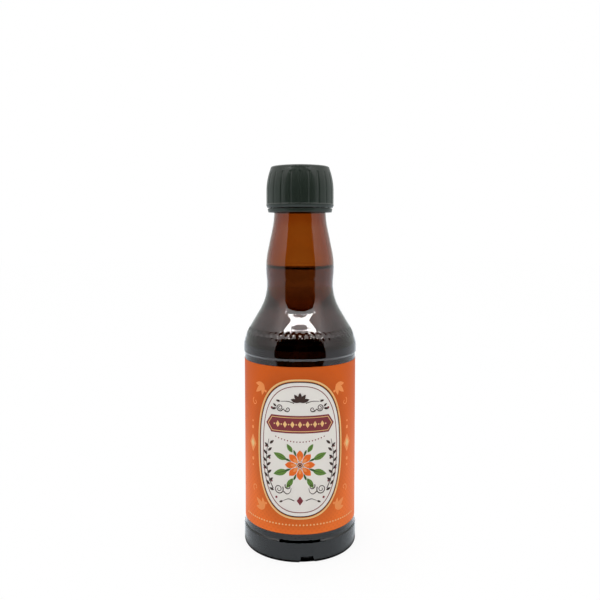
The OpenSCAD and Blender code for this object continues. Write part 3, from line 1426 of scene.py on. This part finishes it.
@dataclass
class Insert:
    """The dasher insert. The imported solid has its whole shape, so it only gets its milky plastic."""

    plastic: MouldedPlastic = MouldedPlastic(
        "insert_plastic", colour(232, 230, 220), roughness=0.35, scuff=0.05, milky=0.5
    )

    def dress(self, node: bpy.types.Object) -> None:
        """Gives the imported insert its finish."""
        node.data.materials.clear()
        node.data.materials.append(self.plastic.material())


# The label


def oval(x: float, z: float, wide: float, high: float, power: float, count: int) -> Outline:
    """Draws a closed loop round a middle.

    Args:
        x: The middle's distance round the bottle.
        z: The middle's height on the paper.
        wide: Half the loop's width.
        high: Half its height.
        power: 2 gives an ellipse, more gives squarer shoulders, and less gives points.
        count: How many points the loop has.

    Returns:
        The loop.
    """
    loop = []
    for step in range(count):
        turn = FULL_TURN * step / count
        cosine, sine = math.cos(turn), math.sin(turn)
        loop.append((
            x + wide * math.copysign(abs(cosine) ** (2 / power), cosine),
            z + high * math.copysign(abs(sine) ** (2 / power), sine),
        ))
    return loop


def leaf(x: float, z: float, length: float, width: float, angle: float, belly: float = 0.45) -> Outline:
    """Draws a pointed leaf or petal.

    Args:
        x: Where its foot is, round the bottle.
        z: Where its foot is, in height.
        length: Its length.
        width: Its width.
        angle: Its direction in degrees, 0 being to the right and 90 up.
        belly: The share of its length at which it is widest.

    Returns:
        The loop.
    """
    half = []
    for step in range(9):
        along = step / 8
        bend = along / belly if along < belly else (1 - along) / (1 - belly)
        half.append((along * length, width / 2 * math.sin(bend * math.pi / 2) ** 0.9))
    turn = math.radians(angle)
    cosine, sine = math.cos(turn), math.sin(turn)
    flat = half + [(along, -side) for along, side in reversed(half[1:-1])]
    return [(x + along * cosine - side * sine, z + along * sine + side * cosine) for along, side in flat]


def stem(points: Sequence[Point], start: float, end: float) -> Outline:
    """Draws a stroke along a smooth curve.

    Args:
        points: The points that the curve goes through.
        start: The stroke's width at the first point.
        end: Its width at the last point.

    Returns:
        The loop.
    """
    line = []
    for index in range(len(points) - 1):
        before = points[max(index - 1, 0)]
        after = points[min(index + 2, len(points) - 1)]
        for step in range(6):
            line.append(between(before, points[index], points[index + 1], after, step / 6))
    line.append(points[-1])
    left, right = [], []
    for index, here in enumerate(line):
        back, ahead = line[max(index - 1, 0)], line[min(index + 1, len(line) - 1)]
        along = Vector((ahead[0] - back[0], ahead[1] - back[1])).normalized()
        half = (start + (end - start) * index / (len(line) - 1)) / 2
        left.append((here[0] - along.y * half, here[1] + along.x * half))
        right.append((here[0] + along.y * half, here[1] - along.x * half))
    return left + right[::-1]


def between(before: Point, first: Point, second: Point, after: Point, share: float) -> Point:
    """Finds a point on a smooth curve.

    Args:
        before: The point before the piece of curve, which bends it.
        first: Where the piece starts.
        second: Where it ends.
        after: The point after it, which bends it.
        share: How far along the piece the point lies, from 0 to 1.

    Returns:
        The point.
    """
    weights = (
        -0.5 * share + share**2 - 0.5 * share**3,
        1 - 2.5 * share**2 + 1.5 * share**3,
        0.5 * share + 2 * share**2 - 1.5 * share**3,
        -0.5 * share**2 + 0.5 * share**3,
    )
    corners = (before, first, second, after)
    return tuple(sum(weight * corner[axis] for weight, corner in zip(weights, corners)) for axis in (0, 1))


def around(middle: Point, radius: float, count: int, first: float = 0.0) -> list[Point]:
    """Returns count places on a circle round a middle, the first at an angle in degrees."""
    turns = [math.radians(first + 360 * step / count) for step in range(count)]
    return [(middle[0] + radius * math.cos(turn), middle[1] + radius * math.sin(turn)) for turn in turns]


def dots(places: Sequence[Point], size: float) -> list[Outline]:
    """Returns a round dot at each place."""
    return [oval(x, z, size, size, 2, 14) for x, z in places]


def petals(middle: Point, radius: float, length: float, width: float, first: float = 0.0) -> list[Outline]:
    """Returns eight leaves that point outwards, evenly round a middle, the first at an angle in degrees."""
    feet = around(middle, radius, 8, first)
    return [leaf(*foot, length, width, first + 45 * step, 0.6) for step, foot in enumerate(feet)]


def curl(middle: Point, radius: float, start: float, sweep: float) -> Outline:
    """Draws a stroke that winds in to a middle.

    Args:
        middle: The middle as (distance round the bottle, height).
        radius: How far out it starts.
        start: The angle at which it starts, in degrees.
        sweep: How far it turns, in degrees, counterclockwise if above 0.

    Returns:
        The loop.
    """
    points = []
    for step in range(13):
        share = step / 12
        turn = math.radians(start + sweep * share)
        reach = radius * (1 - 0.8 * share)
        points.append((middle[0] + reach * math.cos(turn), middle[1] + reach * math.sin(turn)))
    return stem(points, 0.46, 0.24)


def inset(loop: Outline, distance: float) -> Outline:
    """Draws a loop in.

    Args:
        loop: A convex loop that runs counterclockwise.
        distance: How far every side moves in.

    Returns:
        The smaller loop.
    """
    lines = []
    for here, there in zip(loop, loop[1:] + loop[:1]):
        along = Vector((there[0] - here[0], there[1] - here[1])).normalized()
        side = Vector((-along.y, along.x)) * distance
        lines.append((Vector(here) + side, Vector(there) + side))
    made = []
    for before, after in zip(lines[-1:] + lines[:-1], lines):
        crossing = geometry.intersect_line_line_2d(
            before[0] - (before[1] - before[0]), before[1] + (before[1] - before[0]),
            after[0] - (after[1] - after[0]), after[1] + (after[1] - after[0]),
        )
        made.append(tuple(crossing))
    return made


def mirrored(loops: Sequence[Outline]) -> list[Outline]:
    """Returns the loops and their mirror images about the label's middle."""
    return [*loops, *([(-x, z) for x, z in reversed(loop)] for loop in loops)]


def in_metres(shape: Shape) -> Shape:
    """Returns in metres a shape that is drawn in millimetres."""
    return [[(x * MM, z * MM) for x, z in loop] for loop in shape]


@dataclass
class WrapLabel:
    """The wrap label: the paper, and its print as one thin solid for each ink."""

    gap: float = 4.2 * MM
    paper: float = 0.15 * MM
    strip: float = 1.1 * MM
    layer: float = 0.018 * MM
    bite: float = 0.012 * MM
    middle: float = 39.0
    wide: float = 19.6
    high: float = 30.5
    power: float = 2.5
    sharp: float = 30.0
    radius: float = field(init=False)
    inner: float = field(init=False)
    foot: float = field(init=False)
    height: float = field(init=False)

    def __post_init__(self) -> None:
        """Takes the label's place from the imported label."""
        low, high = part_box("label")
        self.radius = high.x
        self.inner = self.radius - self.paper
        self.foot = low.z
        self.height = high.z - low.z

    def solid(
        self, name: str, shapes: Sequence[Shape], low: float, high: float, finish: bpy.types.Material
    ) -> bpy.types.Object:
        """Bends flat artwork round the bottle as a thin closed solid.

        Args:
            name: The object's name.
            shapes: Each shape's outer loop and then its holes, in metres on the paper.
            low: The radius of the solid's inner side.
            high: The radius of its outer side.
            finish: The material.

        Returns:
            The object.
        """
        mesh = bmesh.new()
        for shape in shapes:
            loops = [[Vector((x, z, 0)) for x, z in loop] for loop in shape]
            corners = [mesh.verts.new(corner) for loop in loops for corner in loop]
            for triangle in geometry.tessellate_polygon(loops):
                mesh.faces.new([corners[index] for index in triangle])
        columns = [corner.co.x / self.strip for corner in mesh.verts]
        for cut in range(math.ceil(min(columns)), math.floor(max(columns)) + 1):
            everything = mesh.verts[:] + mesh.edges[:] + mesh.faces[:]
            place = (cut * self.strip, 0, 0)
            bmesh.ops.bisect_plane(mesh, geom=everything, plane_co=place, plane_no=(1, 0, 0))
        bmesh.ops.recalc_face_normals(mesh, faces=mesh.faces)
        flat = mesh.faces[:]
        raised = bmesh.ops.extrude_face_region(mesh, geom=flat, use_keep_orig=True)["geom"]
        outer = {item for item in raised if isinstance(item, bmesh.types.BMVert)}
        for corner in mesh.verts:
            turn = FRONT + corner.co.x / self.radius
            far = high if corner in outer else low
            corner.co = (far * math.cos(turn), far * math.sin(turn), self.foot + corner.co.y)
        bmesh.ops.recalc_face_normals(mesh, faces=mesh.faces)
        made = add_object(name, mesh, finish)
        made.data.set_sharp_from_angle(angle=math.radians(self.sharp))
        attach(made, Body.BOTTLE.value)
        return made

    def edge(self, out: float) -> Outline:
        """Returns the medallion's edge, moved out by a distance."""
        return oval(0, self.middle, self.wide + out, self.high + out, self.power, 160)

    def frame(self, outer: float, inner: float) -> Shape:
        """Returns a ring along the medallion's edge, between two distances outside it."""
        return [self.edge(outer), self.edge(inner)]

    def border(self) -> Print:
        """Draws what lies outside the medallion: dotted lines, corner leaves and lozenges at the sides.

        Returns:
            The loops of each ink.
        """
        leaves = mirrored([
            leaf(17.6, 9.6, 6.6, 2.4, 40), leaf(17.6, 9.6, 5.2, 2.0, 78), leaf(17.6, 9.6, 5.2, 2.0, 2),
            leaf(17.6, 67.6, 6.6, 2.4, -40), leaf(17.6, 67.6, 5.2, 2.0, -78), leaf(17.6, 67.6, 5.2, 2.0, -2),
            curl((23.4, 18.4), 1.9, -60, 330), curl((23.4, 58.8), 1.9, 60, -330),
        ])
        seeds = dots([(25.4, 46.4), (25.4, 31.6)], 0.8) + dots([(25.4, 49.4), (25.4, 28.6)], 0.5)
        seeds += dots([(16.6, 12.6), (16.6, 64.6)], 0.6)
        return {
            Inks.CREAM: dots([(1.6 * step, 4.3) for step in range(-19, 20)], 0.36)
            + mirrored([oval(25.4, 39.0, 1.3, 2.1, 1.0, 4)]),
            Inks.PALE_ORANGE: leaves + mirrored([oval(25.4, 39.0, 2.6, 4.2, 1.0, 4)]) + mirrored(seeds),
        }

    def crest(self) -> Print:
        """Draws the middle of the medallion over and under the flower.

        Returns:
            The loops of each ink.
        """
        crown = [leaf(0, 60.6, 4.4, 1.7, angle, 0.55) for angle in (90, 54, 126, 18, 162)]
        crown += mirrored([
            stem([(2.6, 60.2), (5.6, 61.0), (8.8, 60.8)], 0.42, 0.16), leaf(9.0, 60.8, 2.2, 1.0, 12),
            stem([(2.6, 15.6), (5.2, 16.4), (7.6, 15.4)], 0.4, 0.16), leaf(7.8, 15.3, 2.0, 0.9, -24),
        ])
        lozenges = [oval(3.4 * step, 50.5, 0.95, 1.5, 1.0, 4) for step in range(-3, 4)]
        swag = [(1.4 * step, 44.6 - 2.0 * (1 - (step / 8) ** 2)) for step in range(-8, 9)]
        drops = mirrored(dots([(13.2, 57.6), (11.0, 16.6)], 0.55))
        return {
            Inks.CREAM: lozenges + dots([(1.7 + 3.4 * step, 50.5) for step in range(-4, 4)], 0.34),
            Inks.DARK: crown,
            Inks.WINE: [oval(0, 15.6, 1.5, 2.1, 1.0, 4)] + drops + dots(swag, 0.3),
        }

    def sprigs(self) -> Print:
        """Draws the two sprigs with their berries, and the scrolls at their feet and heads.

        Returns:
            The loops of each ink.
        """
        sprig = [
            stem([(12.6, 20.4), (14.8, 25.0), (16.0, 31.0), (16.0, 37.0), (14.8, 43.0)], 0.46, 0.2),
            curl((9.8, 20.6), 2.3, 150, 620), curl((5.4, 22.2), 1.5, 30, -400),
            curl((9.2, 58.0), 1.7, 200, 640), curl((5.6, 57.4), 1.2, -20, -420),
            stem([(7.6, 19.8), (6.0, 18.6), (4.4, 19.6), (4.0, 21.4)], 0.44, 0.2),
            stem([(7.5, 57.5), (6.6, 56.4), (5.2, 56.2)], 0.36, 0.18),
            leaf(12.2, 19.6, 2.6, 1.1, 18), leaf(10.9, 57.6, 2.6, 1.1, -12), leaf(10.9, 58.3, 2.1, 0.9, 40),
        ]
        berries = []
        for step in range(12):
            share = 0.06 + 0.92 * step / 12
            foot = (12.6 + 3.5 * math.sin(math.pi * min(0.12 + share * 0.78, 1)), 20.4 + 22.6 * share)
            side = 1 if step % 2 else -1
            sprig.append(leaf(*foot, 2.9, 1.2, 90 + side * 50))
            if step % 3 == 1:
                berries.append((foot[0] - side * 1.5, foot[1] + 0.3))
        return {Inks.DARK: mirrored(sprig), Inks.WINE: mirrored(dots(berries, 0.5))}

    def flower(self) -> Print:
        """Draws the blossom and its leaves.

        Returns:
            The loops of each ink.
        """
        middle = (0, 32)
        leaves = mirrored([
            leaf(5.6, 29.4, 7.2, 3.0, -18), leaf(5.9, 34.4, 7.0, 2.8, 22), leaf(3.2, 26.0, 5.6, 2.4, -58),
            leaf(3.4, 37.8, 4.6, 2.0, 56),
        ])
        veins = mirrored([
            stem([(6.2, 29.2), (8.6, 28.5), (11.6, 27.5)], 0.34, 0.14),
            stem([(6.5, 34.6), (9.0, 35.6), (11.6, 36.7)], 0.34, 0.14),
            stem([(3.5, 25.6), (4.4, 24.1), (5.5, 22.4)], 0.3, 0.12),
            stem([(3.6, 38.1), (4.5, 39.4), (5.4, 40.8)], 0.3, 0.12),
        ])
        return {
            Inks.CREAM: dots(around(middle, 0.75, 6), 0.2),
            Inks.DARK: dots([middle], 0.4) + dots(around(middle, 1.75, 8, 22.5), 0.22),
            Inks.WINE: dots([middle], 1.25),
            Inks.GREEN: leaves,
            Inks.DEEP_GREEN: veins + petals(middle, 4.2, 3.4, 1.0, 22.5),
            Inks.PALE_ORANGE: petals(middle, 1.2, 3.1, 1.3),
            Inks.BRIGHT_ORANGE: petals(middle, 1.3, 5.6, 3.0),
        }

    def art(self) -> dict[Inks, list[Shape]]:
        """Draws the whole print.

        Returns:
            The shapes of each ink, in millimetres.
        """
        plaque = [(-13.5, 46.5), (13.5, 46.5), (16.2, 50.5), (13.5, 54.5), (-13.5, 54.5), (-16.2, 50.5)]
        shapes = {
            Inks.CREAM: [self.frame(1.5, 0.75), [inset(plaque, 0.75), inset(plaque, 1.05)]],
            Inks.DARK: [self.frame(0.45, 0.0)],
            Inks.WHITE: [[self.edge(0.0)]],
            Inks.WINE: [self.frame(-1.5, -1.85), [plaque]],
            Inks.GREEN: [], Inks.DEEP_GREEN: [], Inks.PALE_ORANGE: [], Inks.BRIGHT_ORANGE: [],
        }
        for part in (self.border(), self.crest(), self.sprigs(), self.flower()):
            for ink, loops in part.items():
                shapes[ink] += [[loop] for loop in loops]
        return shapes

    def build(self) -> list[bpy.types.Object]:
        """Builds the paper and its print and dresses them.

        Returns:
            The paper and one object for each ink.
        """
        half = (FULL_TURN * self.radius - self.gap) / 2
        sheet = [[(-half, 0.0), (half, 0.0), (half, self.height), (-half, self.height)]]
        middle = self.foot + self.middle * MM
        finish = LabelPaper(self.radius, middle, self.wide * MM, self.high * MM, self.power)
        paper = self.solid("label_sheet", [sheet], self.inner, self.radius, finish.material())
        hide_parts("label")
        made = [paper]
        for ink, shapes in self.art().items():
            outer = self.radius + ink.value.layers * self.layer
            made.append(self.solid(
                "print_" + ink.value.name, [in_metres(shape) for shape in shapes],
                self.radius - self.bite, outer, ink.value.material(),
            ))
        return made


# The studio


@dataclass
class SoftBox:
    """The soft box over the camera, whose reflection is the bright window on the shoulder.

    Its light is a bowed strip with slanted ends, a dark spot and a notch in the middle of its foot. A dim
    cloth is behind it, and a pale post stands at each side. Places on its face are measured from its
    middle in units of its unit. Each Edge says where a soft edge starts and where it ends.
    """

    width: float = 2.1
    height: float = 0.6
    unit: float = 1.8
    distance: float = 1.5
    elevation: float = 52.0
    aim: tuple[float, float, float] = (0.0, -0.02, 0.105)
    radiance: float = 26.0
    plain: float = 2.5
    cloth: float = 2.6
    cloth_foot: Edge = (-0.055, -0.04)
    cloth_bow: float = 0.05
    cloth_fade: Edge = (0.008, 0.012)
    cloth_extra: float = 0.35
    ragged: float = 0.11
    ragged_size: float = 45 * MM
    bow: float = 0.42
    strip_foot: Edge = (0.0100, 0.0108)
    foot_ragged: float = 0.03
    strip_end: Edge = (0.472, 0.482)
    slant: float = 12.8
    slant_level: float = 0.0203
    spot_level: float = 0.0240
    spot_wide: float = 0.27
    spot_high: float = 0.0049
    spot_edge: Edge = (0.8, 1.05)
    spot_ragged: float = 5.0
    spot_light: float = 0.03
    notch_top: Edge = (0.0185, 0.0195)
    notch_side: Edge = (0.2, 0.3)
    notch_light: float = 0.07
    notch_ragged: float = 0.02
    post_inner: Edge = (0.545, 0.552)
    post_outer: Edge = (0.572, 0.580)
    post_foot: Edge = (-0.10, -0.07)
    post_top: Edge = (0.006, 0.011)
    post_light: float = 0.7

    def strip(self, side: Number, level: Number, ragged: Number) -> Number:
        """Draws the bright strip.

        Args:
            side: The distance from the middle to either side.
            level: The height over the bowed middle line.
            ragged: The unevenness of the strip's edges.

        Returns:
            The strip's share of the full light.
        """
        slanted = ((level - self.slant_level) * self.slant).highest(0.0)
        ends = 1 - (side + slanted + ragged).step(*self.strip_end)
        from_spot = ((side / self.spot_wide) ** 2 + ((level - self.spot_level) / self.spot_high) ** 2) ** 0.5
        outside = (from_spot + ragged * self.spot_ragged).step(*self.spot_edge)
        spot = self.spot_light + (1 - self.spot_light) * outside
        above = (level + ragged * self.notch_ragged).step(*self.notch_top)
        beside = (side + ragged).step(*self.notch_side)
        notch = above.highest(beside) * (1 - self.notch_light) + self.notch_light
        return ends * spot * notch * (level + ragged * self.foot_ragged).step(*self.strip_foot)

    def posts(self, side: Number, level: Number) -> Number:
        """Returns the share of the full light that the pale post at each side gives at a place."""
        posts = side.step(*self.post_inner) * (1 - side.step(*self.post_outer)) * self.post_light
        return posts * level.step(*self.post_foot) * (1 - level.step(*self.post_top))

    def light(self, shader: Shader) -> Number:
        """Draws all the light of the face. The posts and the cloth are for reflections alone.

        Args:
            shader: The face's shader.

        Returns:
            The strength of the light.
        """
        across, up, _ = shader.split()
        side, up = abs(across / self.unit), up / self.unit
        level = up - side * side * self.bow
        ragged = (shader.noise(self.ragged_size, detail=4.0) - 0.5) * self.ragged
        glossy = shader.ray(Ray.MIRRORED)
        lit = self.strip(side, level, ragged).highest(self.posts(side, level) * glossy)
        brighter = 1 + self.cloth_extra - self.cloth_extra * level.step(*self.cloth_fade)
        cloth = (up + side * side * self.cloth_bow).step(*self.cloth_foot) * brighter * self.cloth
        behind = self.plain + glossy * (cloth - self.plain)
        return behind * (1 - lit) + lit * self.radiance

    def build(self) -> None:
        """Adds the box, turned towards the bottle."""
        mesh = bmesh.new()
        wide, high = self.width / 2, self.height / 2
        corners = [(-wide, -high), (wide, -high), (wide, high), (-wide, high)]
        mesh.faces.new([mesh.verts.new((across, up, 0.0)) for across, up in corners])
        finish, shader = material("soft_box")
        shader.show(shader.node("ShaderNodeEmission", sockets={"Strength": self.light(shader)}))
        made = add_object("soft_box", mesh, finish)
        turn = math.radians(self.elevation)
        target = Vector(self.aim)
        made.location = target + Vector((0, -math.cos(turn), math.sin(turn))) * self.distance
        made.rotation_euler = (target - made.location).to_track_quat("-Z", "Y").to_euler()
        made.visible_transmission = False


@dataclass
class Tent:
    """The white tent round the bottle, whose front is open and dark towards the camera.

    Heights in it are those of the direction in which it is seen, from 0 at the horizon to 1 overhead.
    """

    ambient: float = 0.93
    opening: float = math.radians(52)
    opening_edge: Edge = (-0.012, 0.012)
    opening_top: Edge = (math.sin(math.radians(41)), math.sin(math.radians(43)))
    narrowing: float = 0.13
    narrowed: Edge = (0.38, 0.68)
    wall: float = 0.88
    rise: Edge = (0.2, 0.85)
    lobe: float = 2.2
    lobe_behind: float = 0.44
    lobe_ahead: float = 0.6
    lobe_turn: Edge = (0.0, 0.6)
    roof: Edge = (0.88, 0.95)
    roof_loss: float = 0.68
    horizon: Edge = (0.1, 0.35)
    horizon_tint: Colour = (0.94, 1.01, 0.98)
    upper_tint: Colour = (1.0, 0.99, 0.99)

    def build(self) -> None:
        """Lights the scene from the tent. The camera itself sees plain white."""
        world = bpy.data.worlds.new("tent")
        bpy.context.scene.world = world
        shader = Shader(world)
        x, y, z = shader.split(Coordinates.DIRECTION)
        ahead = -y / flat_length(x, y)
        edge = z.step(*self.narrowed) * self.narrowing + math.cos(self.opening)
        dark = (ahead - edge).step(*self.opening_edge) * (1 - z.step(*self.opening_top))
        lobe = (self.lobe_behind + self.lobe_ahead * ahead.step(*self.lobe_turn)) * self.lobe
        bright = (self.wall + z.step(*self.rise) * lobe) * (1 - self.roof_loss * z.step(*self.roof))
        camera, glossy = shader.ray(Ray.CAMERA), shader.ray(Ray.MIRRORED)
        other = (1 - camera) * (1 - dark) * (self.ambient + glossy * (bright - self.ambient))
        tint = shader.mixed(z.step(*self.horizon), self.horizon_tint, self.upper_tint)
        light = shader.node("ShaderNodeBackground", sockets={
            "Color": shader.mixed(glossy, WHITE, tint),
            "Strength": camera + other,
        })
        shader.node("ShaderNodeOutputWorld", sockets={"Surface": light.outputs[0]})


@dataclass
class Floor:
    """The pale floor: white to the camera but for the bottle's shadow, and dark in front in reflections, with
    a painted black shadow under the bottle's foot and a painted brighter ring round it in reflections.
    """

    radius: float = 3.0
    # Where the painted black shadow under the bottle's foot fades out.
    base: Edge = (27 * MM, 32 * MM)
    shadow: Edge = (35 * MM, 80 * MM)
    near: Edge = (55 * MM, 70 * MM)
    beyond: Edge = (150 * MM, 250 * MM)
    front: Edge = (0.55, 0.65)
    front_start: Edge = (0.30, 0.34)
    clean: float = 0.88
    cleaner: float = 0.11
    shine: float = 0.9
    # How much brighter reflections see the ring of floor round the bottle: painted light.
    painted_ring_glow: float = 0.8
    grey: Colour = (0.9, 0.9, 0.9)
    tint: Colour = (0.93, 1.01, 1.08)

    def build(self) -> None:
        """Adds the floor. Reflections and what shows through the glass see it as light, not as a surface, but
        for a painted black shadow under the bottle's foot.
        """
        mesh = bmesh.new()
        bmesh.ops.create_circle(mesh, cap_ends=True, segments=96, radius=self.radius)
        finish, shader = material("floor")
        x, y, _ = shader.split()
        camera, glossy, clear = (shader.ray(kind) for kind in (Ray.CAMERA, Ray.MIRRORED, Ray.SEEN_THROUGH))
        out = flat_length(x, y)
        far = (-y).step(*self.front_start) * (-y / out).step(*self.front)
        # Painted shadow: outside the bottle's foot, reflections and what shows through the glass see the
        # floor's light.
        outside_painted_shadow = out.step(*self.base)
        clean = self.clean + self.cleaner * out.step(*self.shadow)
        # Painted light: a brighter ring of floor round the bottle, seen in reflections alone.
        near = out.step(*self.near) * (1 - out.step(*self.beyond))
        white = camera * clean + (clear + glossy * (1 - far)) * outside_painted_shadow * self.shine
        # Black for the front in reflections, and a painted black shadow under the bottle's foot for
        # reflections and what shows through the glass.
        dark_front_and_painted_shadow = glossy * far.highest(1 - outside_painted_shadow) + clear * (1 - outside_painted_shadow)
        matt = shader.node("ShaderNodeBsdfDiffuse", sockets={"Color": self.grey})
        black = shader.node("ShaderNodeBsdfDiffuse", sockets={"Color": (0.0, 0.0, 0.0)})
        glow = shader.node("ShaderNodeEmission", sockets={
            "Color": shader.mixed(glossy, WHITE, self.tint),
            "Strength": 1 + glossy * near * self.painted_ring_glow,
        })
        ground = shader.blend(dark_front_and_painted_shadow, matt, black)
        shader.show(shader.blend(white, ground, glow))
        add_object("floor", mesh, finish)


@dataclass
class Camera:
    """The camera, where the photograph was taken from. Its focal length, row and column are in pixels."""

    distance: float = 323 * MM
    height: float = 150.9 * MM
    tilt: float = 4.29
    focal: float = 677.7
    image: float = 600.0
    centre_row: float = 280.0
    axis_column: float = 300.0
    sensor: float = 36.0

    def build(self) -> None:
        """Adds the camera."""
        data = bpy.data.cameras.new("camera")
        data.sensor_width = self.sensor
        data.lens = self.sensor * self.focal / self.image
        data.shift_x = (self.image / 2 - self.axis_column) / self.image
        data.shift_y = (self.centre_row - self.image / 2) / self.image
        data.clip_start = 0.01
        made = bpy.data.objects.new("camera", data)
        made.location = (0, -self.distance, self.height)
        made.rotation_euler = (math.radians(90 - self.tilt), 0, 0)
        bpy.context.scene.collection.objects.link(made)
        bpy.context.scene.camera = made


@dataclass
class Studio:
    """The camera and all that lights the bottle."""

    camera: Camera = field(default_factory=Camera)
    tent: Tent = field(default_factory=Tent)
    soft_box: SoftBox = field(default_factory=SoftBox)
    floor: Floor = field(default_factory=Floor)

    def build(self) -> None:
        """Adds the whole studio."""
        bpy.context.scene.view_settings.view_transform = "Standard"
        for part in (self.camera, self.tent, self.soft_box, self.floor):
            part.build()


def main() -> None:
    """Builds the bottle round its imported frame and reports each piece."""
    logging.basicConfig(level=logging.INFO, format="%(message)s")
    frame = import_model()
    Studio().build()
    glass = Glass()
    made = [glass.build(), Filling(glass).build()]
    made += Cap().build()
    made.append(Band().build())
    Insert().dress(frame["nodes"]["dasher_insert"])
    made += WrapLabel().build()
    for piece in made:
        LOG.info("%s: %d faces", piece.name, len(piece.data.polygons))


if __name__ == "__main__":
    main()
